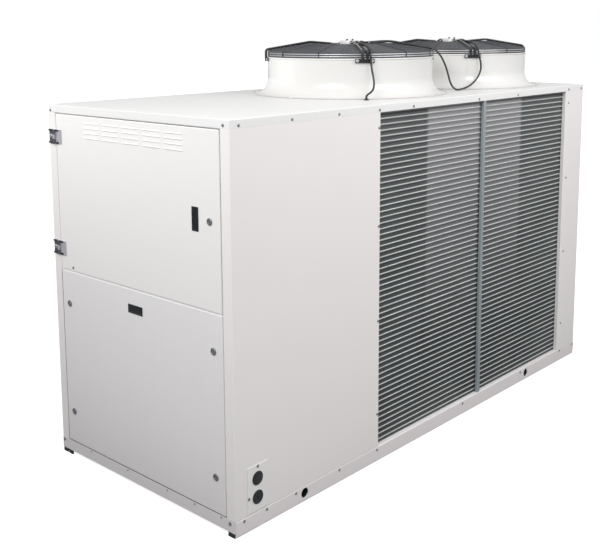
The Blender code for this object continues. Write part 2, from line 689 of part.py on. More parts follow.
def arms(name, centre):
    """Four pairs of bent bars on the diagonals, joined by a hub ring and rim brackets."""
    hub = bmesh.new()
    add_cylinder(hub, (0, 0, ARM_HUB_Z - BRACKET_THICKNESS), (0, 0, 1), ARM_HUB_RADIUS,
                 BRACKET_THICKNESS, 32)
    item = from_bmesh(name, hub, WIRE_PAINT)
    item.location = centre
    rim = SHROUD_RADIUS + SHROUD_LIP + GAP
    half = ARM_BAR / 2
    foot_r = rim + BRACKET_THICKNESS / 2 + half
    foot_z = FAN_HEIGHT - ARM_FOOT_DROP
    outline = [(foot_r, foot_z), (foot_r, ARM_KNEE_Z - half), (foot_r - 2 * half, ARM_KNEE_Z),
               (ARM_PEAK_RADIUS, ARM_PEAK_Z), (ARM_HUB_RADIUS * 0.8, ARM_HUB_Z + half - SHEET / 2)]
    for index in range(ARM_COUNT):
        angle = FRONT_ARM + math.tau * index / ARM_COUNT
        for side in (-1, 1):
            middle = side * ARM_SPACING / 2
            bar = folded_sheet(f"{name}_bar_{index}_{side}", outline, "Y", middle - half,
                               middle + half, WIRE_PAINT, ARM_BAR)
            PARTS.objects.unlink(bar)
            CUTTERS.objects.link(bar)
            bar.hide_render = True
            bar.display_type = "WIRE"
            bar.location = centre
            bar.rotation_euler = (0, 0, angle)
            boolean(item, bar, "UNION")
        plate = box(f"{name}_bracket_{index}", (rim, -BRACKET_WIDTH / 2, foot_z),
                    (rim + BRACKET_THICKNESS, BRACKET_WIDTH / 2, foot_z + BRACKET_HEIGHT),
                    WIRE_PAINT, guide=True)
        plate.location = centre
        plate.rotation_euler = (0, 0, angle)
        boolean(item, plate, "UNION")


def motor(name, centre, gland_angles):
    """The stator hangs under the arms' hub; a white cap and glands stand on top of it."""
    shape = bmesh.new()
    under = ARM_HUB_Z - BRACKET_THICKNESS - GAP
    add_cylinder(shape, (0, 0, under - MOTOR_HEIGHT), (0, 0, 1), MOTOR_RADIUS, MOTOR_HEIGHT, 32)
    item = from_bmesh(name, shape, MOTOR_PAINT, smooth=True)
    item.location = centre
    shaft = cylinder(f"{name}_shaft", (0, 0, under - MOTOR_HEIGHT - MOTOR_SHAFT_LENGTH), (0, 0, 1),
                     MOTOR_SHAFT_RADIUS, MOTOR_SHAFT_LENGTH + SHEET, MOTOR_PAINT, guide=True)
    shaft.location = centre
    boolean(item, shaft, "UNION")
    cap_base = ARM_HUB_Z + GAP
    cap = cylinder(f"{name}_cap", (0, 0, cap_base), (0, 0, 1), CAP_RADIUS, CAP_HEIGHT, WHITE)
    cap.location = centre
    extras = bmesh.new()
    for side in (-1, 1):
        add_cylinder(extras, (side * CAP_NUB_SPACING / 2, 0, cap_base + CAP_HEIGHT - SHEET), (0, 0, 1),
                     CAP_NUB_RADIUS, CAP_NUB_HEIGHT + SHEET, 12)
    for angle in gland_angles:
        direction = Vector((math.cos(angle), math.sin(angle), 0.0))
        start = direction * (CAP_RADIUS - 2 * SHEET) + Vector((0, 0, cap_base + CAP_HEIGHT / 2))
        add_cylinder(extras, start, direction, GLAND_RADIUS, GLAND_LENGTH, 12)
    guide = from_bmesh(f"{name}_cap_extras", extras, WHITE, guide=True)
    guide.location = centre
    boolean(cap, guide, "UNION")


def impeller(name, centre):
    """A hub with swept, twisted blades, in the straight part of the shroud."""
    shape = bmesh.new()
    under = ARM_HUB_Z - BRACKET_THICKNESS - GAP - MOTOR_HEIGHT
    top = under - IMPELLER_HUB_TOP_GAP
    add_cylinder(shape, (0, 0, top - IMPELLER_HUB_HEIGHT), (0, 0, 1), IMPELLER_HUB_RADIUS,
                 IMPELLER_HUB_HEIGHT, 32)
    item = from_bmesh(name, shape, BLACK, smooth=True)
    item.location = centre
    tip = SHROUD_RADIUS - SHROUD_WALL - IMPELLER_TIP_GAP
    root = IMPELLER_HUB_RADIUS - 3 * BLADE_THICKNESS
    middle_z = top - IMPELLER_HUB_HEIGHT / 2
    for index in range(IMPELLER_BLADES):
        blade = bmesh.new()
        rows = []
        for span in range(BLADE_SPANS + 1):
            share = span / BLADE_SPANS
            radius = root + (tip - root) * share
            pitch = math.radians(BLADE_ROOT_PITCH + (BLADE_TIP_PITCH - BLADE_ROOT_PITCH) * share)
            chord = BLADE_ROOT_CHORD + (BLADE_TIP_CHORD - BLADE_ROOT_CHORD) * share
            sweep = math.radians(BLADE_SWEEP) * share ** 2
            row = []
            for step in range(BLADE_CHORDS + 1):
                along = (step / BLADE_CHORDS - 0.5) * chord
                camber = 0.06 * chord * (1 - (2 * along / chord) ** 2)
                angle = sweep + along * math.cos(pitch) / radius + math.tau * index / IMPELLER_BLADES
                height = middle_z + along * math.sin(pitch) + camber * math.cos(pitch)
                row.append(blade.verts.new((radius * math.cos(angle), radius * math.sin(angle), height)))
            rows.append(row)
        for lower, upper in zip(rows, rows[1:]):
            for a, b, c, d in zip(lower, lower[1:], upper[1:], upper):
                blade.faces.new((a, b, c, d))
        guide = from_bmesh(f"{name}_blade_{index}", blade, BLACK, guide=True)
        guide.location = centre
        solidify(guide, BLADE_THICKNESS, 0.0)
        boolean(item, guide, "UNION")
    bore = cylinder(f"{name}_bore", (0, 0, under - MOTOR_SHAFT_LENGTH - SHEET), (0, 0, 1),
                    MOTOR_SHAFT_RADIUS + SHAFT_CLEARANCE, MOTOR_SHAFT_LENGTH + SHEET, BLACK, guide=True)
    bore.location = centre
    boolean(item, bore, "DIFFERENCE")


def smooth_route(points, count):
    """Points along a smooth curve through the route's own points, evenly by parameter."""
    ends = [points[0] * 2 - points[1]] + points + [points[-1] * 2 - points[-2]]
    result = []
    spans = len(points) - 1
    for step in range(count):
        place_ = step / (count - 1) * spans
        index = min(int(place_), spans - 1)
        t = place_ - index
        a, b, c, d = ends[index:index + 4]
        result.append(0.5 * (2 * b + (c - a) * t + (2 * a - 5 * b + 4 * c - d) * t ** 2
                             + (3 * b - a - 3 * c + d) * t ** 3))
    return result


def arm_route(centre_y, angle, last_points):
    """The cable's way out along an arm, as distances from the axis, aside and up."""
    gland = CAP_RADIUS - 2 * SHEET + GLAND_LENGTH + GAP
    axis_z = ARM_HUB_Z + GAP + CAP_HEIGHT / 2
    foot = SHROUD_RADIUS + SHROUD_LIP + GAP + BRACKET_THICKNESS + CABLE_RADIUS + CABLE_CLEARANCE
    run = [(gland, 0.0, axis_z), (gland + 0.020, 0.0, axis_z),
           (ARM_PEAK_RADIUS, 0.0, ARM_PEAK_Z + 0.001)]
    run += [(foot + beyond, aside, up) for beyond, aside, up in last_points]
    outwards = Vector((math.cos(angle), math.sin(angle), 0.0))
    sideways = Vector((-math.sin(angle), math.cos(angle), 0.0))
    base = Vector((FAN_X, centre_y, BODY_HEIGHT))
    return [base + outwards * r + sideways * s + Vector((0, 0, z)) for r, s, z in run]


# Ends of the way along an arm: over one bar and down beside it, or straight off the end
OVER_THE_BAR = [(-0.150, 0.0010, 0.2395), (-0.120, 0.0055, 0.2385), (-0.085, 0.0125, 0.2328),
                (-0.053, 0.0190, 0.2264), (-0.027, 0.0222, 0.2165), (-0.010, 0.0228, 0.2050)]
OFF_THE_END = [(-0.115, 0.0, 0.2290), (-0.060, 0.0, 0.2225), (-0.020, 0.0, 0.2165)]

# Free stretches of the two fan cables, from the roof at the front fan's centre
CABLE_1_ROUTE = [(0.323, -0.2500, 0.1870), (0.3245, -0.2500, 0.1620), (0.3310, -0.2500, 0.1240),
                 (0.3425, -0.2535, 0.0900), (0.3515, -0.2610, 0.0640), (0.3585, -0.2770, 0.0430),
                 (0.3630, -0.2980, 0.0320), (0.3645, -0.3170, 0.0250), (0.3650, -0.3290, 0.0185),
                 (0.3650, -0.3310, 0.0125)]
CABLE_2_ROUTE = [(0.275, 0.3155, 0.201), (0.288, 0.333, 0.1785), (0.300, 0.346, 0.1495),
                 (0.312, 0.359, 0.1075), (0.322, 0.372, 0.0535), (0.328, 0.385, 0.0260),
                 (0.332, 0.410, 0.0090), (0.332, 0.440, 0.0058), (0.333, 0.486, 0.0100),
                 (0.334, 0.535, 0.0210), (0.335, 0.582, 0.0430), (0.337, 0.611, 0.0690),
                 (0.338, 0.627, 0.1000), (0.336, 0.629, 0.1300), (0.330, 0.625, 0.1600),
                 (0.325, 0.623, 0.1870)]


def cables():
    roof_centre = Vector((FAN_X, FAN_FRONT_Y, BODY_HEIGHT))
    grommet = roof_centre + Vector((GROMMET_SIDE, -GROMMET_SETBACK, GAP))
    end = grommet + Vector((0.0, 0.0, GROMMET_HEIGHT + GAP))
    first = (arm_route(FAN_FRONT_Y, FRONT_ARM, OVER_THE_BAR)
             + [roof_centre + Vector(p) for p in CABLE_1_ROUTE] + [end])
    second = (arm_route(FAN_FRONT_Y, REAR_ARM, OFF_THE_END)
              + [roof_centre + Vector(p) for p in CABLE_2_ROUTE]
              + arm_route(FAN_REAR_Y, FRONT_ARM, OVER_THE_BAR)[::-1])
    for name, route, count in (("fan_cable_1", first, CABLE_SHORT_POINTS),
                               ("fan_cable_2", second, CABLE_LONG_POINTS)):
        place(name, wires(name, [smooth_route(route, count)], CABLE_RADIUS, 2), BLACK, smooth=True)
    cylinder("cable_grommet", grommet, (0, 0, 1), GROMMET_RADIUS, GROMMET_HEIGHT, BLACK)


def fans():
    for number, y, clip_sign, glands in ((1, FAN_FRONT_Y, -1, (FRONT_ARM, REAR_ARM)),
                                         (2, FAN_REAR_Y, 1, (FRONT_ARM,))):
        centre = (FAN_X, y, BODY_HEIGHT)
        shroud(f"fan_{number}_shroud", y, clip_sign)
        guard(f"fan_{number}_guard", centre)
        arms(f"fan_{number}_arms", centre)
        motor(f"fan_{number}_motor", centre, glands)
        impeller(f"fan_{number}_impeller", centre)


base_rails()
base_covers()
floor_pan()
side_panels()
rear_panel()
roof_panel()
partition()
coils()
front_end()
hinge("upper", DOOR_TOP - HINGE_UPPER_DROP)
hinge("lower", DOOR_BOTTOM + HINGE_LOWER_RISE)
gland_plate()
fans()
cables()
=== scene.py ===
# %% [markdown]
# # An air cooled water chiller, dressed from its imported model
#
# This machine cools water for a building. It stands outdoors on two steel rails, draws air
# in through a finned coil on each long side and blows it out of two fans in its roof.
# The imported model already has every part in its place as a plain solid. The cells below
# build the finished skin round those solids, one part of the machine at a time.
#
# All sizes are in metres. The doors face -Y, the cable entry is on the +X side and the
# ground is z = 0.

import math

import bmesh
import bpy
from mathutils import Matrix, Vector


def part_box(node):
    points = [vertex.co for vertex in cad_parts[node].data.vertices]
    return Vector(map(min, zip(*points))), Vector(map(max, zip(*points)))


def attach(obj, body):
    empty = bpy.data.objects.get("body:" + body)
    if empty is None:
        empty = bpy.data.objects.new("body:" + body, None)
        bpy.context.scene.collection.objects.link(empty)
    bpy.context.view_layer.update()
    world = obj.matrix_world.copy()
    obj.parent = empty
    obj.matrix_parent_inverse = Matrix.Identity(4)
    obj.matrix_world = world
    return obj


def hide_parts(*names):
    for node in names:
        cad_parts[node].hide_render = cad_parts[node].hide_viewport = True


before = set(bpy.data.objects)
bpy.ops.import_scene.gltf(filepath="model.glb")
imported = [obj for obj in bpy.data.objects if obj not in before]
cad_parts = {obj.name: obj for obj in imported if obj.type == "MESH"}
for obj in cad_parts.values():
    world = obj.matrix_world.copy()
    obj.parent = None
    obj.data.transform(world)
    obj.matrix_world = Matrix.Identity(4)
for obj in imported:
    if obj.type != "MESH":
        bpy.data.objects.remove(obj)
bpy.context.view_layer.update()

# %% [markdown]
# ## A ruler for the whole machine
#
# A sheet metal worker measures from a corner of the cabinet. The roof covers the whole
# cabinet, so its lowest corner is a good zero: x runs to the right, y runs from the doors
# to the rear end, and z stays the height above the ground.

# %% Measure from the cabinet's left front corner
ROOF_LOW, ROOF_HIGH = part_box("roof_panel")
WIDTH = ROOF_HIGH.x - ROOF_LOW.x
LENGTH = ROOF_HIGH.y - ROOF_LOW.y
TOP = ROOF_HIGH.z
SHEET = 0.002
GAP = 0.0003


def at(x, y, z=0.0):
    """A point given from the cabinet's left front corner, in the model's own axes."""
    return Vector((ROOF_LOW.x + x, ROOF_LOW.y + y, z))


print(f"cabinet {WIDTH:.3f} wide, {LENGTH:.3f} long, {TOP:.3f} high")

# %% [markdown]
# ## The camera
#
# The picture is taken from beside the right front corner, a little above the roof. A long
# lens keeps the upright edges almost parallel. A small shift of the lens lifts the machine
# to the middle of the picture, so the camera tilts down only a little and the upright edges
# hardly lean.

# %% Place the camera
LENS_MM = 55.83
SENSOR_MM = 36.0
LENS_SHIFT = -0.18
CAMERA_SPOT = (3.400, -2.153, 1.831)
TILT_DOWN = 8.61
TURN = 42.47
ROLL = 0.31

lens = bpy.data.cameras.new("studio_camera")
lens.lens = LENS_MM
lens.sensor_width = SENSOR_MM
lens.shift_y = LENS_SHIFT
camera = bpy.data.objects.new("studio_camera", lens)
bpy.context.scene.collection.objects.link(camera)
camera.location = at(*CAMERA_SPOT)
camera.rotation_euler = (math.radians(90.0 - TILT_DOWN), math.radians(ROLL), math.radians(TURN))
bpy.context.scene.camera = camera
print("camera at", [round(value, 3) for value in camera.location])

# %% [markdown]
# ## Helpers for materials
#
# A finish is a small machine of its own: noise and masks go in, and colour, roughness and
# height come out. Each kind of finish is one node group, which a material places with its
# own values. The shader and its fixed values stay in the material.

# %% Add nodes in one line each
def add(tree, kind, sockets=None, **settings):
    """A shader node with its settings, and with a value or a link in each named socket."""
    made = tree.nodes.new(f"ShaderNode{kind}")
    for name, value in settings.items():
        setattr(made, name, value)
    for name, value in (sockets or {}).items():
        if isinstance(value, bpy.types.NodeSocket):
            tree.links.new(value, made.inputs[name])
        else:
            made.inputs[name].default_value = value
    return made


def figure(tree, operation, *values):
    """The result of a Math node."""
    return add(tree, "Math", dict(enumerate(values)), operation=operation).outputs[0]


def mixed(tree, share, first, second):
    """Two colours mixed by a share."""
    return add(tree, "Mix", {0: share, 6: first, 7: second}, data_type="RGBA").outputs[2]


def fitted(tree, value, low, high, to_low=0.0, to_high=1.0):
    """A value moved from one range to another, and held inside it."""
    sockets = {0: value, 1: low, 2: high, 3: to_low, 4: to_high}
    return add(tree, "MapRange", sockets).outputs[0]


def noise(tree, place, scale, detail):
    """Soft noise of that scale, from 0 to 1."""
    return add(tree, "TexNoise", {"Vector": place, "Scale": scale, "Detail": detail}).outputs[0]


def place_of(tree, stretch=(1.0, 1.0, 1.0)):
    """Object coordinates, stretched along each axis."""
    spot = add(tree, "TexCoord").outputs["Object"]
    return add(tree, "Mapping", {"Vector": spot, "Scale": stretch}).outputs[0]


def new_group(name, takes):
    """A node group that gives Colour, Roughness and Height, with the sockets that feed it."""
    tree = bpy.data.node_groups.new(name, "ShaderNodeTree")
    for socket, start in takes.items():
        kind = "NodeSocketColor" if isinstance(start, tuple) else "NodeSocketFloat"
        tree.interface.new_socket(socket, in_out="INPUT", socket_type=kind).default_value = start
    for socket, kind in (("Colour", "Color"), ("Roughness", "Float"), ("Height", "Float")):
        tree.interface.new_socket(socket, in_out="OUTPUT", socket_type=f"NodeSocket{kind}")
    return tree, tree.nodes.new("NodeGroupInput").outputs, tree.nodes.new("NodeGroupOutput").inputs


def make_finish(name, effect, values, bump, metallic=0.0, **fixed):
    """A material whose colour, roughness and fine relief come from a group."""
    made = bpy.data.materials.new(name)
    made.use_nodes = True
    tree = made.node_tree
    shader = tree.nodes["Principled BSDF"]
    look = tree.nodes.new("ShaderNodeGroup")
    look.node_tree = effect
    for socket, value in values.items():
        look.inputs[socket].default_value = value
    relief = add(tree, "Bump", {"Distance": bump, "Height": look.outputs["Height"]})
    tree.links.new(look.outputs["Colour"], shader.inputs["Base Color"])
    tree.links.new(look.outputs["Roughness"], shader.inputs["Roughness"])
    tree.links.new(relief.outputs["Normal"], shader.inputs["Normal"])
    shader.inputs["Metallic"].default_value = metallic
    for socket, value in fixed.items():
        shader.inputs[socket.replace("_", " ").title()].default_value = value
    made.diffuse_color = (*values.get("Colour", (0.5, 0.5, 0.5))[:3], 1.0)
    return made


print("node helpers ready")

# %% [markdown]
# ## Moulded plastic and rubber
#
# The pulls, plugs, impellers and cables are moulded. Moulded black is never quite black:
# it has a very fine grain, slightly duller patches where it was handled, and a grey bloom
# from weather. One group makes all of them, with more or less of each.

# %% Moulded finishes
BLOOM_GREY = (0.30, 0.31, 0.32, 1.0)


def moulded_group():
    tree, takes, gives = new_group("moulded", {"Colour": (0.03, 0.03, 0.03, 1.0), "Grain": 900.0,
                                               "Bloom": 0.2, "Gloss": 0.45})
    place = place_of(tree)
    patches = noise(tree, place, 14.0, 4.0)
    grain = noise(tree, place, takes["Grain"], 3.0)
    bloom = figure(tree, "MULTIPLY", fitted(tree, patches, 0.42, 0.72), takes["Bloom"])
    grey = mixed(tree, 0.5, takes["Colour"], BLOOM_GREY)
    tree.links.new(mixed(tree, bloom, takes["Colour"], grey), gives["Colour"])
    dull = figure(tree, "MULTIPLY_ADD", grain, 0.10, takes["Gloss"])
    tree.links.new(figure(tree, "MULTIPLY_ADD", bloom, 0.30, dull), gives["Roughness"])
    tree.links.new(grain, gives["Height"])
    return tree


MOULDED = moulded_group()
RUBBER = make_finish("cable_rubber", MOULDED, {"Colour": (0.016, 0.016, 0.018, 1.0), "Grain": 1400.0,
                                               "Bloom": 0.15, "Gloss": 0.42}, bump=0.00008)
PULL_BLACK = make_finish("pull_black", MOULDED, {"Colour": (0.012, 0.014, 0.016, 1.0), "Bloom": 0.10,
                                                 "Gloss": 0.34}, bump=0.0001)
DISH_BLACK = make_finish("pull_dish", MOULDED, {"Colour": (0.085, 0.102, 0.125, 1.0), "Bloom": 0.25,
                                                "Gloss": 0.40}, bump=0.0001)
PLUG_BLACK = make_finish("plug_black", MOULDED, {"Colour": (0.020, 0.026, 0.025, 1.0), "Bloom": 0.15,
                                                 "Gloss": 0.32}, bump=0.0001)
BLADE_BLACK = make_finish("blade_black", MOULDED, {"Colour": (0.022, 0.023, 0.025, 1.0), "Grain": 500.0,
                                                   "Bloom": 0.35, "Gloss": 0.42}, bump=0.0002)
print("moulded finishes: 5")

# %% [markdown]
# ## Fan cables
#
# Each fan has a 9 mm cable. It leaves a gland at the motor and lies between the two bars of
# an arm. On the front arms it crosses one bar near the rim and goes down beside it. The
# front fan's first cable ends in a grommet in the roof, and its second one leaves the rear
# arm, dips to the roof and climbs to the rear fan. A cable is a fixed length of something
# springy, so each is one smooth curve through a few points, and it is built before
# everything else.

# %% Route the cables
FAN_X = WIDTH / 2
FAN_Y = (1.312, 2.184)
ARM_TURN = math.radians(4.0)
FRONT_ARM = -math.pi / 4 + ARM_TURN
REAR_ARM = math.pi / 4 + ARM_TURN
CABLE_RADIUS = 0.0045
FROM_GLAND = [(0.0673, 0.0, 0.2403), (0.0873, 0.0, 0.2403), (0.190, 0.0, 0.245)]
OVER_THE_BAR = [*FROM_GLAND, (0.2553, 0.0010, 0.2395), (0.2853, 0.0055, 0.2385),
                (0.3203, 0.0125, 0.2328), (0.3523, 0.0190, 0.2264), (0.3783, 0.0222, 0.2165),
                (0.3953, 0.0228, 0.2050)]
OFF_THE_END = [*FROM_GLAND, (0.2903, 0.0, 0.2290), (0.3453, 0.0, 0.2225), (0.3853, 0.0, 0.2165)]
DOWN_TO_ROOF = [(0.323, -0.2500, 0.1870), (0.3245, -0.2500, 0.1620), (0.3310, -0.2500, 0.1240),
                (0.3425, -0.2535, 0.0900), (0.3515, -0.2610, 0.0640), (0.3585, -0.2770, 0.0430),
                (0.3630, -0.2980, 0.0320), (0.3645, -0.3170, 0.0250), (0.3650, -0.3290, 0.0185),
                (0.3650, -0.3310, 0.0125), (0.3650, -0.3310, 0.0076)]
ACROSS_TO_REAR = [(0.275, 0.3155, 0.201), (0.288, 0.333, 0.1785), (0.300, 0.346, 0.1495),
                  (0.312, 0.359, 0.1075), (0.322, 0.372, 0.0535), (0.328, 0.385, 0.0260),
                  (0.332, 0.410, 0.0090), (0.332, 0.440, 0.0058), (0.333, 0.486, 0.0100),
                  (0.334, 0.535, 0.0210), (0.335, 0.582, 0.0430), (0.337, 0.611, 0.0690),
                  (0.338, 0.627, 0.1000), (0.336, 0.629, 0.1300), (0.330, 0.625, 0.1600),
                  (0.325, 0.623, 0.1870)]


def along_arm(fan_y, angle, steps):
    """Points given as distance from the fan's axis, aside and up, laid along an arm."""
    outwards = Vector((math.cos(angle), math.sin(angle), 0.0))
    sideways = Vector((-math.sin(angle), math.cos(angle), 0.0))
    base = at(FAN_X, fan_y, TOP)
    return [base + outwards * run + sideways * aside + Vector((0.0, 0.0, rise))
            for run, aside, rise in steps]


def smooth_route(points, count):
    """Evenly spread points on a smooth curve through all of the given ones."""
    ends = [points[0] * 2 - points[1]] + points + [points[-1] * 2 - points[-2]]
    spans = len(points) - 1
    result = []
    for step in range(count):
        place = step / (count - 1) * spans
        index = min(int(place), spans - 1)
        t = place - index
        a, b, c, d = ends[index:index + 4]
        result.append(0.5 * (2 * b + (c - a) * t + (2 * a - 5 * b + 4 * c - d) * t ** 2
                             + (3 * b - a - 3 * c + d) * t ** 3))
    return result


front_fan = at(FAN_X, FAN_Y[0], TOP)
route_down = along_arm(FAN_Y[0], FRONT_ARM, OVER_THE_BAR)
route_down += [front_fan + Vector(point) for point in DOWN_TO_ROOF]
route_across = along_arm(FAN_Y[0], REAR_ARM, OFF_THE_END)
route_across += [front_fan + Vector(point) for point in ACROSS_TO_REAR]
route_across += along_arm(FAN_Y[1], FRONT_ARM, OVER_THE_BAR)[::-1]
print("route points:", len(route_down), len(route_across))

# %% Lay the two cables
def lay_cable(name, node, route, count):
    """A round cable along its route, which says its own length."""
    line = smooth_route(route, count)
    curve = bpy.data.curves.new(name, "CURVE")
    curve.dimensions = "3D"
    curve.bevel_depth = CABLE_RADIUS
    curve.bevel_resolution = 3
    curve.use_fill_caps = True
    spline = curve.splines.new("POLY")
    spline.points.add(len(line) - 1)
    for point, spot in zip(spline.points, line):
        point.co = (*spot, 1.0)
    spline.use_smooth = True
    curve.materials.append(RUBBER)
    cable = bpy.data.objects.new(name, curve)
    bpy.context.scene.collection.objects.link(cable)
    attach(cable, "cabinet")
    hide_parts(node)


lay_cable("cable_to_roof", "fan_cable_1", route_down, 120)
lay_cable("cable_between_fans", "fan_cable_2", route_across, 180)

# %% [markdown]
# ## Helpers for shapes
#
# Nearly every part here is bent sheet, a turned ring, a bent rod or a screw. One helper
# for each keeps the cells below short. A copy of a model solid is merged, its flat
# triangles are joined, and its folds get the radius that a press brake leaves.

# %% Finish a piece
def finish_piece(name, shape, material, body="cabinet", instead=(), sharp=32.0):
    """Turns a bmesh into a piece of the scene, on its body and with its finish."""
    mesh = bpy.data.meshes.new(name)
    shape.to_mesh(mesh)
    shape.free()
    mesh.materials.append(material)
    mesh.shade_smooth()
    mesh.set_sharp_from_angle(angle=math.radians(sharp))
    piece = bpy.data.objects.new(name, mesh)
    bpy.context.scene.collection.objects.link(piece)
    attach(piece, body)
    if instead:
        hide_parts(*instead)
    print(f"{name}: {len(mesh.polygons)} faces")
    return piece


print("piece helper ready")

# %% Even light and wall thickness
def even_shading(piece):
    """Keeps wide flat faces flat in the light, right up to a rounded fold."""
    level = piece.modifiers.new("even_shading", "WEIGHTED_NORMAL")
    level.keep_sharp = True
    return piece


def wall(piece, thickness, offset=-1.0):
    """Gives a single skin the thickness of its sheet."""
    made = piece.modifiers.new("wall", "SOLIDIFY")
    made.thickness = thickness
    made.offset = offset
    made.use_even_offset = True
    return piece


print("modifier helpers ready")

# %% Round edges and folds
FOLD_ANGLE = math.radians(20.0)
CORNER_ANGLE = math.radians(60.0)
CUT_EDGE = 1.4
WELD = 0.00005


def round_edges(shape, edges, offset, segments):
    """Bevels edges with a plain round profile."""
    if edges:
        bmesh.ops.bevel(shape, geom=edges, offset=offset, offset_type="OFFSET", segments=segments,
                        profile=0.5, affect="EDGES", clamp_overlap=True, material=-1)
        shape.normal_update()


def sheet_width(face):
    """The width of a long strip of a face, such as the cut edge of a sheet."""
    return 2.0 * face.calc_area() / max(face.calc_perimeter(), 1e-9)


def folds_of(shape, thickness, convex):
    """The edges where a sheet is folded outwards or inwards, without its cut edges."""
    found = []
    for edge in shape.edges:
        if len(edge.link_faces) == 2 and edge.calc_face_angle(0.0) > FOLD_ANGLE:
            if min(sheet_width(face) for face in edge.link_faces) > CUT_EDGE * thickness:
                if edge.is_convex == convex:
                    found.append(edge)
    return found


def corners_of(shape):
    """The edges where two faces meet at a sharp angle."""
    return [edge for edge in shape.edges
            if len(edge.link_faces) == 2 and edge.calc_face_angle(0.0) > CORNER_ANGLE]


def softened(node, thickness=SHEET, fold=0.003, rim=0.0004):
    """A merged copy of a model solid, with rounded folds and broken cut edges."""
    shape = bmesh.new()
    shape.from_mesh(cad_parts[node].data)
    bmesh.ops.remove_doubles(shape, verts=shape.verts, dist=WELD)
    bmesh.ops.dissolve_limit(shape, angle_limit=math.radians(1.0), verts=shape.verts,
                             edges=shape.edges)
    shape.normal_update()
    round_edges(shape, folds_of(shape, thickness, True), fold, 4)
    round_edges(shape, folds_of(shape, thickness, False), fold - thickness * 0.8, 3)
    round_edges(shape, corners_of(shape), rim, 2)
    return shape


print("edge helpers ready")

# %% Boxes and turned shapes
def joined(first, second):
    """Puts a second shape into the first one, as a separate shell."""
    mesh = bpy.data.meshes.new("joining")
    second.to_mesh(mesh)
    second.free()
    first.from_mesh(mesh)
    bpy.data.meshes.remove(mesh)
    first.normal_update()
    return first


def add_box(shape, low, high, edge=0.0, turn=None):
    """A box between two corners, with rounded edges, and turned by a matrix if one is given."""
    box = bmesh.new()
    size = Vector(high) - Vector(low)
    centre = (Vector(high) + Vector(low)) / 2
    bmesh.ops.create_cube(box, size=1.0,
                          matrix=Matrix.Translation(centre) @ Matrix.Diagonal((*size, 1.0)))
    if edge:
        round_edges(box, box.edges[:], edge, 2)
    if turn:
        bmesh.ops.transform(box, matrix=turn, verts=box.verts)
    joined(shape, box)


def facing(place, direction):
    """The turn and shift that put a shape's z axis along a direction at a place."""
    return Matrix.Translation(place) @ Vector(direction).to_track_quat("Z", "Y").to_matrix().to_4x4()


def add_turned(shape, profile, place, direction=(0, 0, 1), steps=32):
    """Spins a profile of (radius, height) points round an axis. Ends on the axis close it."""
    turned = bmesh.new()
    points = [turned.verts.new((radius, 0.0, height)) for radius, height in profile]
    edges = [turned.edges.new(pair) for pair in zip(points, points[1:])]
    if profile[0][0] > 0.0 or profile[-1][0] > 0.0:
        edges.append(turned.edges.new((points[-1], points[0])))
    bmesh.ops.spin(turned, geom=points + edges, cent=(0, 0, 0), axis=(0, 0, 1), angle=math.tau,
                   steps=steps, use_merge=True, use_duplicate=False)
    bmesh.ops.remove_doubles(turned, verts=turned.verts, dist=0.00001)
    bmesh.ops.recalc_face_normals(turned, faces=turned.faces)
    bmesh.ops.transform(turned, matrix=facing(place, direction), verts=turned.verts)
    joined(shape, turned)


print("solid helpers ready")

# %% Rods along a path
CORNER_SHARE = 0.45


def add_rod(shape, path, radius, sides, twist=0.0):
    """A rod along a path: its first ring is extruded and turned from point to point."""
    points = [Vector(point) for point in path]
    heading = (points[1] - points[0]).normalized()
    matrix = facing(points[0], heading) @ Matrix.Rotation(twist, 4, "Z")
    ring = bmesh.ops.create_circle(shape, cap_ends=True, segments=sides, radius=radius,
                                   matrix=matrix)["verts"]
    faces = set(ring[0].link_faces)
    edges = list({line for corner in ring for line in corner.link_edges})
    for index in range(1, len(points)):
        ahead = points[min(index + 1, len(points) - 1)] - points[index - 1]
        turn = heading.rotation_difference(ahead.normalized()).to_matrix().to_4x4()
        grown = bmesh.ops.extrude_edge_only(shape, edges=edges)["geom"]
        ring = [part for part in grown if isinstance(part, bmesh.types.BMVert)]
        inside = set(ring)
        edges = [part for part in grown if isinstance(part, bmesh.types.BMEdge)
                 and part.verts[0] in inside and part.verts[1] in inside]
        faces.update(part for part in grown if isinstance(part, bmesh.types.BMFace))
        move = Matrix.Translation(points[index]) @ turn @ Matrix.Translation(-points[index - 1])
        bmesh.ops.transform(shape, matrix=move, verts=ring)
        heading = ahead.normalized()
    cap = bmesh.ops.contextual_create(shape, geom=edges)["faces"]
    bmesh.ops.recalc_face_normals(shape, faces=list(faces) + cap)


def towards(corner, other, radius):
    """The point where the curve round a corner meets the run to another point."""
    run = other - corner
    return corner + run.normalized() * min(radius, run.length * CORNER_SHARE)


def rounded_path(points, radius, steps):
    """A path of straight runs with each corner drawn as a short curve."""
    points = [Vector(point) for point in points]
    path = [points[0]]
    for before, corner, after in zip(points, points[1:], points[2:]):
        arrive = towards(corner, before, radius)
        leave = towards(corner, after, radius)
        for step in range(steps + 1):
            t = step / steps
            path.append(arrive * (1 - t) ** 2 + corner * (2 * t * (1 - t)) + leave * t ** 2)
    return path + [points[-1]]


print("rod helpers ready")

# %% [markdown]
# ## White powder coat
#
# The sheet steel is powder coated: powder is sprayed on dry and baked until it flows
# together. That leaves a fine skin like orange peel, slightly uneven gloss, and after a
# while some dust that rain washes down and splashes up near the ground. The darkening
# towards the ground is also painted shade, for the light that grows weaker lower down.

# %% The coat as a node group
DUST_AND_SHADE_TOP = 0.55
WASHED_SHARE = 0.06
FOLD_BAND = (TOP - 0.0005, TOP - 0.0030)
PATCH_TONE = (0.45, 0.45, 0.47, 1.0)
UNSHADED_LIP_TONE = (0.86, 0.855, 0.85, 1.0)
DUST_AND_SHADE_TONE = (0.45, 0.40, 0.42, 1.0)


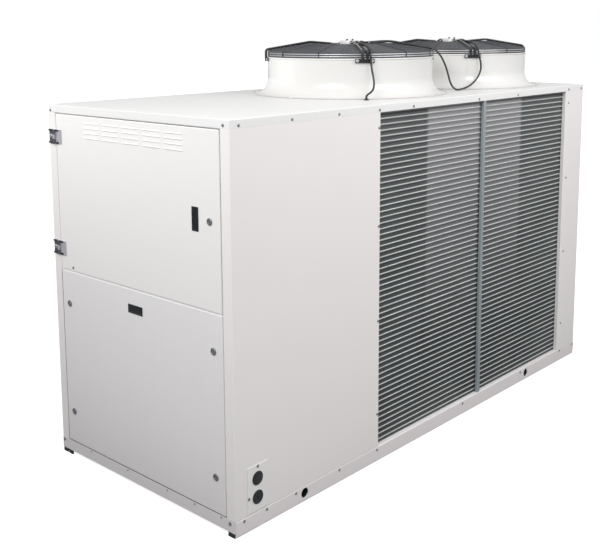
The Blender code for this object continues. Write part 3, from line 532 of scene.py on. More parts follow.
def paint_group():
    tree, takes, gives = new_group("powder_coat", {"Colour": (0.86, 0.85, 0.84, 1.0), "Peel": 380.0,
                                                   "Dust": 0.25, "Gloss": 0.34, "Folds": 0.0})
    place = place_of(tree)
    broad = noise(tree, place, 1.7, 3.0)
    streaks = noise(tree, place_of(tree, (26.0, 26.0, 1.6)), 1.0, 3.0)
    peel = noise(tree, place, takes["Peel"], 1.0)
    axes = add(tree, "SeparateXYZ", {0: add(tree, "TexCoord").outputs["Object"]}).outputs
    # Darker towards the ground: splashed dust, and painted shade where less light reaches.
    low_dust_and_shade = figure(tree, "POWER", fitted(tree, axes["Z"], DUST_AND_SHADE_TOP, 0.0), 2.0)
    # Painted shade on the roof's top face: below the fold, the lips are mixed back towards the lighter
    # white.
    fold = figure(tree, "MULTIPLY", fitted(tree, axes["Z"], *FOLD_BAND), takes["Folds"])
    washed = fitted(tree, streaks, 0.40, 0.75)
    dust_and_shade = figure(tree, "MULTIPLY_ADD", washed, WASHED_SHARE, low_dust_and_shade)
    dust_and_shade = figure(tree, "MULTIPLY", dust_and_shade, takes["Dust"])
    patch = mixed(tree, 0.06, takes["Colour"], PATCH_TONE)
    shade = mixed(tree, fitted(tree, broad, 0.3, 0.7, 0.0, 0.45), takes["Colour"], patch)
    shade = mixed(tree, fold, shade, UNSHADED_LIP_TONE)
    tree.links.new(mixed(tree, dust_and_shade, shade, DUST_AND_SHADE_TONE), gives["Colour"])
    gloss = figure(tree, "MULTIPLY_ADD", broad, 0.08, takes["Gloss"])
    tree.links.new(figure(tree, "MULTIPLY_ADD", dust_and_shade, 0.5, gloss), gives["Roughness"])
    tree.links.new(peel, gives["Height"])
    return tree


PAINTED = paint_group()
print("powder coat nodes:", len(PAINTED.nodes))

# %% Painted finishes
CABINET_WHITE = make_finish("cabinet_white", PAINTED, {"Dust": 0.10, "Gloss": 0.36}, bump=0.00010)
# The roof's white is painted darker than the cabinet's, as painted shade against the strong light on top.
ROOF_WHITE_SHADED = make_finish("roof_white_painted_shade", PAINTED, {"Colour": (0.72, 0.715, 0.71, 1.0), "Dust": 0.06,
                                                 "Gloss": 0.40, "Folds": 0.75}, bump=0.00010)
# Side panels: the same white, tinted warmer as painted light for the light on the sides.
SIDE_WHITE_TINTED_LIGHT = make_finish("side_white_painted_light", PAINTED, {"Colour": (0.875, 0.845, 0.838, 1.0), "Dust": 0.15,
                                                 "Gloss": 0.36}, bump=0.00010)
# Rails: the same white, darker and warmer, as painted shade near the ground.
RAIL_WHITE_SHADED = make_finish("rail_white_painted_shade", PAINTED, {"Colour": (0.86, 0.825, 0.825, 1.0), "Dust": 0.22,
                                                 "Gloss": 0.40}, bump=0.00012)
# Bell mouths and motor caps: white painted greyer, as painted shade against the strong light on the roof.
SHROUD_WHITE_SHADED = make_finish("shroud_white_painted_shade", PAINTED, {"Colour": (0.68, 0.675, 0.66, 1.0), "Peel": 300.0,
                                                     "Dust": 0.05, "Gloss": 0.16}, bump=0.00008,
                           coat_weight=0.3, coat_roughness=0.10)
# Access panel: the same white, darker and greyer, as painted shade low on the front.
ACCESS_WHITE_SHADED = make_finish("access_white_painted_shade", PAINTED, {"Colour": (0.83, 0.815, 0.825, 1.0), "Dust": 0.34,
                                                     "Gloss": 0.36}, bump=0.00010)
# Base covers: the same white, darker, as painted shade near the ground.
BASE_WHITE_SHADED = make_finish("base_white_painted_shade", PAINTED, {"Colour": (0.78, 0.755, 0.765, 1.0), "Dust": 0.26,
                                                 "Gloss": 0.40}, bump=0.00012)
print("painted finishes: 7")

# %% [markdown]
# ## Bare metals
#
# Hidden sheets are galvanised: zinc freezes on the steel in flat crystals that differ a
# little in tone. Screws, hinges and rim wires are zinc plated and polished by handling, so
# they have fine scratches. The wire guards and the arms are steel with a dark plastic coat,
# so they take the moulded group, and the motors are painted grey.

# %% Metal finishes
CRYSTAL_DARK = (0.22, 0.23, 0.25, 1.0)


def zinc_group():
    tree, takes, gives = new_group("zinc", {"Colour": (0.62, 0.64, 0.66, 1.0), "Crystal": 70.0,
                                            "Contrast": 0.25, "Gloss": 0.38})
    place = place_of(tree)
    crystal = add(tree, "TexVoronoi", {"Vector": place, "Scale": takes["Crystal"]}).outputs["Color"]
    tone = add(tree, "SeparateColor", {0: crystal}).outputs[0]
    scratches = noise(tree, place_of(tree, (40.0, 900.0, 300.0)), 1.0, 2.0)
    darker = mixed(tree, 0.6, takes["Colour"], CRYSTAL_DARK)
    share = figure(tree, "MULTIPLY", tone, takes["Contrast"])
    tree.links.new(mixed(tree, share, takes["Colour"], darker), gives["Colour"])
    gloss = figure(tree, "MULTIPLY_ADD", tone, 0.12, takes["Gloss"])
    tree.links.new(figure(tree, "MULTIPLY_ADD", scratches, 0.06, gloss), gives["Roughness"])
    tree.links.new(scratches, gives["Height"])
    return tree


ZINC = zinc_group()
GALVANISED = make_finish("galvanised_sheet", ZINC, {"Contrast": 0.35}, bump=0.00005, metallic=0.85)
BRIGHT_ZINC = make_finish("bright_zinc", ZINC, {"Colour": (0.74, 0.75, 0.76, 1.0), "Crystal": 300.0,
                                                "Contrast": 0.12, "Gloss": 0.24}, bump=0.00004,
                          metallic=0.9)
HINGE_ZINC = make_finish("hinge_zinc", ZINC, {"Colour": (0.48, 0.47, 0.51, 1.0), "Crystal": 240.0,
                                              "Contrast": 0.20, "Gloss": 0.40}, bump=0.00005,
                         metallic=0.2)
BAR_ZINC = make_finish("bar_zinc", ZINC, {"Colour": (0.47, 0.54, 0.56, 1.0), "Contrast": 0.30},
                       bump=0.00005, metallic=0.6)
LOCK_GREY = make_finish("lock_grey", ZINC, {"Colour": (0.30, 0.30, 0.31, 1.0), "Crystal": 300.0,
                                            "Contrast": 0.20, "Gloss": 0.30}, bump=0.00005,
                        metallic=0.6)
# The fixed hinge leaf: a darker copy of the hinge zinc, as painted shade.
FIXED_LEAF_SHADED_ZINC = make_finish("hinge_zinc_painted_shade", ZINC, {"Colour": (0.20, 0.22, 0.27, 1.0), "Crystal": 240.0,
                                                  "Contrast": 0.20, "Gloss": 0.26}, bump=0.00005,
                           metallic=0.8)
RIM_SILVER = make_finish("rim_wire_silver", ZINC, {"Colour": (0.66, 0.67, 0.68, 1.0), "Crystal": 200.0,
                                                   "Contrast": 0.15, "Gloss": 0.26}, bump=0.00003,
                         metallic=0.8)
print("metal finishes: 7")

# %% Coated wires, arms and motors
WIRE_BLACK = make_finish("wire_black", MOULDED, {"Colour": (0.040, 0.042, 0.048, 1.0), "Grain": 700.0,
                                                 "Bloom": 0.30, "Gloss": 0.34}, bump=0.00008)
# The fine guard mesh: a lighter copy of the black wire coat, as painted light on its many wires.
WIRE_GREY_LIT = make_finish("wire_grey_painted_light", MOULDED, {"Colour": (0.085, 0.087, 0.096, 1.0), "Bloom": 0.15,
                                               "Gloss": 0.34}, bump=0.0001)
ARM_BLACK = make_finish("arm_black", MOULDED, {"Colour": (0.014, 0.015, 0.017, 1.0), "Grain": 600.0,
                                               "Bloom": 0.12, "Gloss": 0.16}, bump=0.0001,
                        coat_weight=0.6, coat_roughness=0.08)
# A grey strip at the edge of each bell mouth's flange: painted shadow under the flange.
FLANGE_SHADOW_FINISH = make_finish("flange_painted_shadow", MOULDED, {"Colour": (0.50, 0.47, 0.47, 1.0), "Grain": 300.0,
                                                  "Bloom": 0.30, "Gloss": 0.55}, bump=0.0002)
MOTOR_GREY = make_finish("motor_grey_paint", PAINTED, {"Colour": (0.16, 0.17, 0.18, 1.0), "Peel": 260.0,
                                                       "Dust": 0.10, "Gloss": 0.40}, bump=0.0002)
print("coated finishes: 5")

# %% [markdown]
# ## The coil's finish
#
# Behind each long side hangs a coil: sixty rows of tube in a block of very thin aluminium
# fins. From outside, each row shows as a light line over the dark between the fins, and that
# dark is painted shade. The whole coil is also painted lighter towards the top, as painted
# light from above. The pattern follows the height of the rows, so it reads z, and the fins
# follow y. Near the top of the middle the fins are cleaner and lighter, and that band fades
# downwards.

# %% Finned coil
COIL_ROWS = 60
COIL_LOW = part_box("coil_right")[0].z
COIL_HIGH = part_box("coil_right")[1].z
ROW_PITCH = (COIL_HIGH - COIL_LOW) / COIL_ROWS
BAND_START = at(0.0, 1.21).y
BAND_END = at(0.0, 2.02).y
BAND_SOFT = 0.01
LINE_MIDDLE = 0.55
TOP_LIGHT_TONE = (0.9, 0.9, 0.9, 1.0)
WAVE_TONE = (0.30, 0.32, 0.32, 1.0)
BAND_TONE = (0.42, 0.405, 0.425, 1.0)


def fin_group():
    tree, takes, gives = new_group("finned_coil", {"Line": (0.60, 0.63, 0.62, 1.0),
                                                   "Depth": (0.038, 0.045, 0.046, 1.0),
                                                   "Band": 0.66, "Fins": 480.0})
    spot = add(tree, "TexCoord").outputs["Object"]
    x, y, z = add(tree, "SeparateXYZ", {0: spot}).outputs
    row = figure(tree, "DIVIDE", figure(tree, "SUBTRACT", z, COIL_LOW), ROW_PITCH)
    row = figure(tree, "FRACT", row)
    off_line = figure(tree, "ABSOLUTE", figure(tree, "SUBTRACT", row, LINE_MIDDLE))
    line = fitted(tree, off_line, 0.15, 0.10)
    uneven = noise(tree, place_of(tree, (1.0, 5.0, 40.0)), 1.0, 3.0)
    line = figure(tree, "MULTIPLY", line, fitted(tree, uneven, 0.2, 0.7, 0.72, 1.0))
    # Painted light: the shaded depth between the fins grows lighter towards the top.
    lighter_towards_top = fitted(tree, z, 0.3, 1.5, 0.0, 0.065)
    depth = mixed(tree, lighter_towards_top, takes["Depth"], TOP_LIGHT_TONE)
    inside = figure(tree, "MULTIPLY", fitted(tree, y, BAND_START - BAND_SOFT, BAND_START + BAND_SOFT),
                    fitted(tree, y, BAND_END + BAND_SOFT, BAND_END - BAND_SOFT))
    right = fitted(tree, x, 0.0, 0.1)
    fading = figure(tree, "POWER", fitted(tree, z, 0.30, 1.45, 0.0, 1.0), 1.7)
    band = figure(tree, "MULTIPLY", figure(tree, "MULTIPLY", inside, right),
                  figure(tree, "MULTIPLY", fading, takes["Band"]))
    wavy = noise(tree, place_of(tree, (3.0, 3.0, 3.0)), 1.0, 2.0)
    base = mixed(tree, fitted(tree, wavy, 0.35, 0.7, 0.0, 0.12), depth, WAVE_TONE)
    lit = mixed(tree, band, base, BAND_TONE)
    tree.links.new(mixed(tree, line, lit, takes["Line"]), gives["Colour"])
    turns = figure(tree, "MULTIPLY", y, figure(tree, "MULTIPLY", takes["Fins"], math.pi))
    fins = figure(tree, "ABSOLUTE", figure(tree, "SINE", turns))
    tree.links.new(fitted(tree, line, 0.0, 1.0, 0.62, 0.36), gives["Roughness"])
    tree.links.new(fins, gives["Height"])
    return tree


COIL_FINISH = make_finish("coil_fins", fin_group(), {}, bump=0.0004, metallic=0.25)
print(f"coil rows every {ROW_PITCH * 1000:.1f} mm")

# %% [markdown]
# ## Base rails and covers
#
# Two folded channels carry the whole machine. Round holes near their ends take lifting
# bars. A flat cover closes the space between the rails at each end, a little above the
# ground so that water runs out. They are copies of the model's solids with rounded folds.
# Black sleeves line the holes, and small black caps close the front ends of the folds. Their
# black also stands in for the shade inside the open ends of the channels.

# %% Rails and covers
RAIL_WALL = 0.004
for side in ("left", "right"):
    rail = softened(f"base_rail_{side}", RAIL_WALL, fold=0.006, rim=0.0008)
    even_shading(finish_piece(f"{side}_rail", rail, RAIL_WHITE_SHADED,
                              instead=[f"base_rail_{side}"]))
for end in ("front", "back"):
    cover = softened(f"base_cover_{end}", rim=0.0005)
    even_shading(finish_piece(f"{end}_cover", cover, BASE_WHITE_SHADED,
                              instead=[f"base_cover_{end}"]))

# %% Sleeves and end caps
LIFT_Y = (0.374, 2.108)
LIFT_Z = 0.036
SLEEVE_INSIDE = 0.0204
SLEEVE_OUTSIDE = 0.0222
SLEEVE_INSET = 0.006
SLEEVE_LENGTH = WIDTH - 2 * SLEEVE_INSET
RAIL_CAPS_AND_SHADE = ((0.0045, 0.0340), (0.0440, 0.0700), (1.0610, 1.0945))
RAIL_CAP_AND_SHADE_TOP = 0.0180

sleeves = bmesh.new()
sleeve = [(SLEEVE_INSIDE, 0.0), (SLEEVE_OUTSIDE, 0.0), (SLEEVE_OUTSIDE, SLEEVE_LENGTH),
          (SLEEVE_INSIDE, SLEEVE_LENGTH)]
for y in LIFT_Y:
    add_turned(sleeves, sleeve, at(SLEEVE_INSET, y, LIFT_Z), (1, 0, 0), 40)
finish_piece("lifting_sleeves", sleeves, PLUG_BLACK)
# Black blocks at the rails' front ends: end caps, and painted shade inside the open ends of the channels.
end_caps_and_shade = bmesh.new()
for low_x, high_x in RAIL_CAPS_AND_SHADE:
    add_box(end_caps_and_shade, at(low_x, -0.0006, 0.0006), at(high_x, 0.0060, RAIL_CAP_AND_SHADE_TOP), 0.0008)
finish_piece("rail_end_caps_and_shade", end_caps_and_shade, PLUG_BLACK)

# %% [markdown]
# ## Side and rear panels
#
# The side panels wrap round the corners of the cabinet in one sheet and fold back behind
# the doors and in front of the coil. The folds are what makes them stiff, and each fold
# catches a thin line of light. A press brake can't fold sharper than about the thickness
# of the sheet, so every fold has an outside radius of about 3 mm.

# %% Panels
for side in ("left", "right"):
    for part in ("front", "rear"):
        node = f"side_panel_{part}_{side}"
        panel = softened(node, fold=0.0032)
        even_shading(finish_piece(f"{part}_{side}_side", panel, SIDE_WHITE_TINTED_LIGHT,
                                  instead=[node]))
even_shading(finish_piece("rear_skin", softened("rear_panel"), CABINET_WHITE,
                          instead=["rear_panel"]))
even_shading(finish_piece("roof_skin", softened("roof_panel", fold=0.0035), ROOF_WHITE_SHADED,
                          instead=["roof_panel"]))

# %% Sheets that stay as they are in the model
for name in ("floor_pan", "partition", "front_cross_rail", "control_box"):
    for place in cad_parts[name].material_slots:
        place.material = GALVANISED
print("galvanised sheets: 4")

# %% [markdown]
# ## Doors as folded pans
#
# Both front panels are shallow pans: a flat face with its four edges folded back. A box
# without its back is the quickest start. The face is then cut along straight lines with
# bisect planes, so that windows and louvres have their own edges, and the wall is added
# last, inwards, so that the folds keep an even thickness.

# %% Fold a pan and cut its face
PAN_FOLD = 0.003
PAN_WALL = SHEET * 0.75
NEAR = 0.0001


def folded_pan(low, high):
    """A skin in front and round the sides of a box, open behind."""
    shape = bmesh.new()
    add_box(shape, low, high)
    shape.normal_update()
    back = [face for face in shape.faces if face.normal.y > 0.9]
    bmesh.ops.delete(shape, geom=back, context="FACES_ONLY")
    folds = [edge for edge in shape.edges if len(edge.link_faces) == 2]
    round_edges(shape, folds, PAN_FOLD, 4)
    return shape


def cut_face(shape, front, cuts_x, cuts_z):
    """Cuts the flat front of a pan along upright and level lines."""
    for normal, cuts in ((Vector((1.0, 0.0, 0.0)), cuts_x), (Vector((0.0, 0.0, 1.0)), cuts_z)):
        for cut in cuts:
            faces = [face for face in shape.faces
                     if abs(face.normal.y) > 0.999 and abs(face.calc_center_median().y - front) < NEAR]
            edges = {edge for face in faces for edge in face.edges}
            corners = {corner for face in faces for corner in face.verts}
            bmesh.ops.bisect_plane(shape, geom=[*faces, *edges, *corners], dist=0.000001,
                                   plane_co=normal * cut, plane_no=normal)
            shape.normal_update()


def open_window(shape, front, low_x, high_x, low_z, high_z):
    """Takes the faces out of a window whose edges are already cut."""
    inside = []
    for face in shape.faces:
        centre = face.calc_center_median()
        if abs(centre.y - front) < NEAR and low_x < centre.x < high_x and low_z < centre.z < high_z:
            inside.append(face)
    bmesh.ops.delete(shape, geom=inside, context="FACES")


print("pan helpers ready")

# %% [markdown]
# ## Pressed louvres
#
# Louvres let the heat of the switchgear out and keep rain off it. A press cuts the sheet
# along a line and pushes the metal above the cut outwards, in one stroke. The same is done
# here: the cut is a split edge, and the points above it move out along a smooth curve.

# %% Lay out the louvres
LOUVRE_ROWS = 4
LOUVRE_COLUMNS = 5
LOUVRE_HEIGHT = 0.0055
LOUVRE_REACH = 0.0022
LOUVRE_EASE = 0.009
LOUVRE_LIFTS = (0.0, 0.15, 0.35, 0.58, 0.8, 1.0)
LOUVRE_SHARES = (0.0, 0.2, 0.45, 0.7, 1.0)
LOUVRE_MARGIN = 0.1905
LOUVRE_BRIDGE = 0.018
LOUVRE_DROP = 0.030
LOUVRE_PITCH = 0.020
DOOR_LOW, DOOR_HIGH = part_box("control_door")
DOOR_FRONT = at(0.0, 0.0).y
DOOR_LEFT, DOOR_RIGHT = DOOR_LOW.x, DOOR_HIGH.x
LOUVRE_SPAN = DOOR_RIGHT - DOOR_LEFT - 2 * LOUVRE_MARGIN
LOUVRE_LENGTH = (LOUVRE_SPAN - (LOUVRE_COLUMNS - 1) * LOUVRE_BRIDGE) / LOUVRE_COLUMNS
LOUVRE_FEET = [DOOR_HIGH.z - LOUVRE_DROP - row * LOUVRE_PITCH for row in range(LOUVRE_ROWS)]
LOUVRE_STARTS = [DOOR_LEFT + LOUVRE_MARGIN + column * (LOUVRE_LENGTH + LOUVRE_BRIDGE)
                 for column in range(LOUVRE_COLUMNS)]


def louvre_cuts():
    """The upright and level lines that the louvres need."""
    upright = []
    for start in LOUVRE_STARTS:
        upright += [start + share * LOUVRE_EASE for share in LOUVRE_SHARES]
        upright += [start + LOUVRE_LENGTH - share * LOUVRE_EASE for share in LOUVRE_SHARES]
    level = [foot + lift * LOUVRE_HEIGHT for foot in LOUVRE_FEET for lift in LOUVRE_LIFTS]
    return upright, level


upright, level = louvre_cuts()
print(f"{LOUVRE_ROWS * LOUVRE_COLUMNS} louvres, each {LOUVRE_LENGTH * 1000:.0f} mm long")

# %% Press the louvres
TOUCH = 0.00001


def press_louvres(shape):
    """Splits the sheet at each louvre's foot and pushes the metal above it out."""
    for foot in LOUVRE_FEET:
        for start in LOUVRE_STARTS:
            end = start + LOUVRE_LENGTH
            cut = [edge for edge in shape.edges
                   if all(abs(c.co.z - foot) < TOUCH and start - TOUCH < c.co.x < end + TOUCH
                          and abs(c.co.y - DOOR_FRONT) < NEAR for c in edge.verts)]
            bmesh.ops.split_edges(shape, edges=cut)
            for corner in shape.verts:
                rise = (corner.co.z - foot) / LOUVRE_HEIGHT
                inset = min(corner.co.x - start, end - corner.co.x)
                if inset <= 0.0 or not -0.001 < rise < 0.999 or abs(corner.co.y - DOOR_FRONT) > NEAR:
                    continue
                above = any(face.calc_center_median().z > foot for face in corner.link_faces)
                if above:
                    side = math.sin(min(inset / LOUVRE_EASE, 1.0) * math.pi / 2)
                    corner.co.y -= LOUVRE_REACH * side * math.cos(max(rise, 0.0) * math.pi / 2)


print("louvre helper ready")

# %% The upper door, with its louvres and the window for its pull
PULL_SHORT = 0.035
PULL_LONG = 0.089
PULL_RIM = 0.003
EDGE_BAND = 0.0045
door_pull = at(0.916, 0.0, (DOOR_LOW.z + DOOR_HIGH.z) / 2)
access_pull = at(0.550, 0.0, 0.752)


def window_of(pull, width, height):
    """The window that a pull's cup goes through."""
    half_w = width / 2 - PULL_RIM + GAP
    half_h = height / 2 - PULL_RIM + GAP
    return pull.x - half_w, pull.x + half_w, pull.z - half_h, pull.z + half_h


window = window_of(door_pull, PULL_SHORT, PULL_LONG)
door = folded_pan((DOOR_LEFT, DOOR_FRONT, DOOR_LOW.z), (DOOR_RIGHT, DOOR_HIGH.y, DOOR_HIGH.z))
cut_face(door, DOOR_FRONT, [*upright, *window[:2]],
         [*level, *window[2:], DOOR_LOW.z + EDGE_BAND, DOOR_HIGH.z - EDGE_BAND])
open_window(door, DOOR_FRONT, *window)
press_louvres(door)
even_shading(wall(finish_piece("door_skin", door, CABINET_WHITE, "door",
                               ["control_door"]), PAN_WALL))

# %% The lower access panel
access_low, access_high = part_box("access_panel")
window = window_of(access_pull, PULL_LONG, PULL_SHORT)
access = folded_pan((access_low.x, DOOR_FRONT, access_low.z), access_high)
cut_face(access, DOOR_FRONT, window[:2], window[2:])
open_window(access, DOOR_FRONT, *window)
even_shading(wall(finish_piece("access_skin", access, ACCESS_WHITE_SHADED,
                               instead=["access_panel"]), PAN_WALL))

# %% Dark strips in the access panel's seams: a rubber gasket, and painted shade in the seams
SEAM_STRIP_X = (0.0478, 0.0498)
SEAM_STRIP_Y = (0.0008, 0.0040)
SEAM_STRIP_EDGE = 0.0004
seam_gasket_and_shade = bmesh.new()
add_box(seam_gasket_and_shade, at(SEAM_STRIP_X[0], SEAM_STRIP_Y[0], 0.0685), at(SEAM_STRIP_X[1], SEAM_STRIP_Y[1], 0.8295), SEAM_STRIP_EDGE)
add_box(seam_gasket_and_shade, at(SEAM_STRIP_X[0], SEAM_STRIP_Y[0], 0.0664),
        at(WIDTH - SEAM_STRIP_X[0], SEAM_STRIP_Y[1], 0.0683), SEAM_STRIP_EDGE)
finish_piece("panel_seam_gasket_and_shade", seam_gasket_and_shade, RUBBER)

# %% [markdown]
# ## Recessed pulls
#
# Each panel has a black moulded cup to pull it by. Its rim clips over the edge of the
# window, and its floor slopes, deeper on the side where the fingers hook in. An inset makes
# the rim from the front of a plate, and an extrusion pushed back makes the cup.

# %% Mould the pulls
PULL_PROUD = 0.0022
PULL_DEPTH = 0.014
PULL_TAPER = 0.0015
PULL_SHALLOW = 0.35
PULL_ROUND = 0.0009


def add_pull(name, node, place, width, height, body, deep_side):
    """A rim in front of the sheet, with a sloping cup behind it."""
    shape = bmesh.new()
    front = place.y - GAP
    low = (place.x - width / 2, front - PULL_PROUD, place.z - height / 2)
    add_box(shape, low, (place.x + width / 2, front, place.z + height / 2))
    shape.normal_update()
    face = min(shape.faces, key=lambda f: f.calc_center_median().y)
    round_edges(shape, list(face.edges), PULL_ROUND, 3)
    face = max((f for f in shape.faces if f.normal.y < -0.99), key=lambda f: f.calc_area())
    bmesh.ops.inset_region(shape, faces=[face], thickness=PULL_RIM + 0.0008, use_even_offset=True)
    bmesh.ops.inset_region(shape, faces=[face], thickness=0.0006, depth=-0.0012, use_even_offset=True)
    grown = bmesh.ops.extrude_face_region(shape, geom=[face])["geom"]
    bmesh.ops.delete(shape, geom=[face], context="FACES_ONLY")
    floor = [part for part in grown if isinstance(part, bmesh.types.BMVert)]
    reach = width if abs(deep_side.x) > 0.5 else height
    for corner in floor:
        offset = corner.co - place
        share = max(0.0, min(1.0, 0.5 + offset.dot(deep_side) / reach))
        corner.co.y += PULL_DEPTH * (PULL_SHALLOW + (1.0 - PULL_SHALLOW) * share)
        corner.co.x -= math.copysign(PULL_TAPER, offset.x)
        corner.co.z -= math.copysign(PULL_TAPER, offset.z)
    shape.normal_update()
    piece = finish_piece(name, shape, PULL_BLACK, body, [node])
    piece.data.materials.append(DISH_BLACK)
    for polygon in piece.data.polygons:
        if polygon.center.y > place.y + 0.0005:
            polygon.material_index = 1


add_pull("door_pull", "door_handle", door_pull, PULL_SHORT, PULL_LONG, "door", Vector((1.0, 0.0, 0.0)))
add_pull("access_pull", "access_handle", access_pull, PULL_LONG, PULL_SHORT, "cabinet",
         Vector((0.0, 0.0, 1.0)))

# %% [markdown]
# ## Lock and turn fasteners
#
# The door closes with a round lock, and quarter turn fasteners hold the lower panel. Both
# are turned on a lathe: a disc with a rounded shoulder and a recess, with a bar for the
# key across it. So both are a profile that is spun round its own axis.

# %% Turn the lock and the fasteners
OUTWARDS = Vector((0.0, -1.0, 0.0))
LOCK_X = 0.993
LOCK_RADIUS = 0.0135
LOCK_PROUD = 0.004
TURN_RADIUS = 0.0138
TURN_BAR = math.radians(35)


def lock_profile(radius, proud):
    """A domed rim round a recess, from the back edge to the middle."""
    return [(radius, 0.0), (radius, proud * 0.55), (radius * 0.93, proud * 0.85), (radius * 0.84, proud),
            (radius * 0.66, proud), (radius * 0.60, proud * 0.85), (radius * 0.60, proud * 0.3),
            (0.0, proud * 0.3)]


def add_lock(shape, place, radius, bar_turn):
    """A round lock with the key's bar across its recess."""
    seat = place + OUTWARDS * GAP
    add_turned(shape, lock_profile(radius, LOCK_PROUD), seat, OUTWARDS, 40)
    half = radius * 0.14
    add_box(shape, (-half, -radius * 0.5, 0.0), (half, radius * 0.5, LOCK_PROUD * 0.8),
            edge=radius * 0.04, turn=facing(seat, OUTWARDS) @ Matrix.Rotation(bar_turn, 4, "Z"))


lock = bmesh.new()
add_lock(lock, at(LOCK_X, 0.0, door_pull.z), LOCK_RADIUS, 0.0)
finish_piece("lock", lock, LOCK_GREY, "door", ["door_lock"])
turns = bmesh.new()
for z in (0.2085, 0.6895):
    for x in (0.100, 1.000):
        add_lock(turns, at(x, 0.0, z), TURN_RADIUS, TURN_BAR)
finish_piece("turn_fasteners", turns, LOCK_GREY)

# %% [markdown]
# ## Hinges
#
# The door hangs on two butt hinges. The fixed leaf ends in two knuckles, the moving one in
# a third between them, and a pin runs through all three. The leaves are separate pieces,
# because one stays on the cabinet and the other swings with the door.

# %% Knuckles, end strips and leaf screws
HINGE_X = (0.0015, 0.089)
HINGE_PIN_X = 0.045
HINGE_HEIGHT = 0.060
HINGE_LEAF = 0.003
HINGE_END = 0.0085
HINGE_REACH = 0.0075
BARREL = 0.0055
KNUCKLE_CHAMFER = 0.0006
KNUCKLE_GAP = 0.0004
LEAF_SCREW = [(0.0042, -0.0006), (0.0042, 0.0), (0.0036, 0.0005), (0.0016, 0.0006), (0.0009, -0.0004),
              (0.0, -0.0004)]
# A bright domed boss on the fixed leaf, which also stands in for the highlight on the knuckle.
HINGE_HIGHLIGHT_BOSS = [(0.0, 0.0), (0.0100, 0.0), (0.0100, 0.0012), (0.0086, 0.0024), (0.0050, 0.0032),
              (0.0, 0.0034)]


def add_knuckle(shape, place, low, high):
    """One rolled knuckle with softly rounded ends."""
    length = high - low
    neck = BARREL - KNUCKLE_CHAMFER
    profile = [(0.0, 0.0), (neck, 0.0), (BARREL, KNUCKLE_CHAMFER), (BARREL, length - KNUCKLE_CHAMFER),
               (neck, length), (0.0, length)]
    add_turned(shape, profile, Vector((place.x, place.y - HINGE_REACH, low)), steps=28)


def leaf_ends(name, xs, front, low, body):
    """Dark moulded strips across the top and the bottom of a leaf."""
    ends = bmesh.new()
    for start in (low, low + HINGE_HEIGHT - HINGE_END):
        add_box(ends, (xs[0], front - 0.0016, start), (xs[1], front - GAP, start + HINGE_END), 0.0005)
    finish_piece(name, ends, PLUG_BLACK, body)


def leaf_screws(shape, xs, front, low):
    """Round screw heads in a leaf, low domes with a dimple in the middle."""
    for x in xs:
        for share in (0.29, 0.71):
            spot = Vector((x, front, low + HINGE_HEIGHT * share))
            add_turned(shape, LEAF_SCREW, spot, OUTWARDS, 16)


print("hinge helpers ready")

# %% Make the hinges
def make_hinge(label, middle):
    """Both leaves of one hinge, the fixed one on the cabinet and the moving one on the door."""
    low = middle - HINGE_HEIGHT / 2
    high = middle + HINGE_HEIGHT / 2
    third = HINGE_HEIGHT / 3
    pin = at(HINGE_PIN_X, 0.0)
    clear = BARREL + 0.0012
    back, front = pin.y - GAP, pin.y - GAP - HINGE_LEAF
    left, right = (at(x, 0.0).x for x in HINGE_X)
    fixed = bmesh.new()
    add_box(fixed, (left + 0.004, front, low), (pin.x - clear, back, high), 0.0006)
    for start in (low, high - third):
        add_box(fixed, (pin.x - clear - SHEET, front, start + KNUCKLE_GAP),
                (pin.x - BARREL / 2, back, start + third - KNUCKLE_GAP), 0.0003)
        add_knuckle(fixed, pin, start, start + third - KNUCKLE_GAP if start == low else start + third)
    leaf_screws(fixed, (left + 0.031,), front, low)
    # The fixed leaf is painted darker than the moving one, as painted shade.
    even_shading(finish_piece(f"hinge_leaf_fixed_{label}", fixed, FIXED_LEAF_SHADED_ZINC,
                              instead=[f"hinge_fixed_{label}"]))
    # Bright zinc boss: a painted highlight where the knuckle catches the light.
    highlight_boss = bmesh.new()
    add_turned(highlight_boss, HINGE_HIGHLIGHT_BOSS, Vector((left + 0.017, front - GAP, middle)), OUTWARDS)
    finish_piece(f"hinge_highlight_boss_{label}", highlight_boss, BRIGHT_ZINC)
    leaf_ends(f"hinge_ends_fixed_{label}", (left, pin.x - clear - 0.0005), front, low, "cabinet")
    moving = bmesh.new()
    add_box(moving, (pin.x + clear, front, low), (right, back, high), 0.0006)
    add_box(moving, (pin.x + BARREL / 2, front, low + third + KNUCKLE_GAP),
            (pin.x + clear + SHEET, back, high - third - KNUCKLE_GAP), 0.0003)
    add_knuckle(moving, pin, low + third + KNUCKLE_GAP, high - third - KNUCKLE_GAP)
    leaf_screws(moving, (pin.x + 0.019, pin.x + 0.035), front, low)
    even_shading(finish_piece(f"hinge_leaf_moving_{label}", moving, HINGE_ZINC, "door",
                              [f"hinge_moving_{label}"]))
    leaf_ends(f"hinge_ends_moving_{label}", (pin.x + clear + 0.0005, right - 0.016), front, low, "door")


make_hinge("upper", DOOR_HIGH.z - 0.096)
make_hinge("lower", DOOR_LOW.z + 0.0905)

# %% [markdown]
# ## Inside the control compartment
#
# The upper door opens, so the compartment behind it is fitted out. Nobody can see it in the
# picture, and this is the plain layout that most control panels share: a mounting plate,
# slotted ducts, and between them two rows of switchgear and one of terminals. Things that
# repeat at an even pitch are one unit and an array.

# %% Greys and an array
DUCT_GREY = make_finish("duct_grey", MOULDED, {"Colour": (0.42, 0.43, 0.44, 1.0), "Bloom": 0.10,
                                               "Gloss": 0.45}, bump=0.0001)
DEVICE_GREY = make_finish("device_grey", MOULDED, {"Colour": (0.62, 0.63, 0.62, 1.0), "Bloom": 0.08,
                                                   "Gloss": 0.38}, bump=0.0001)


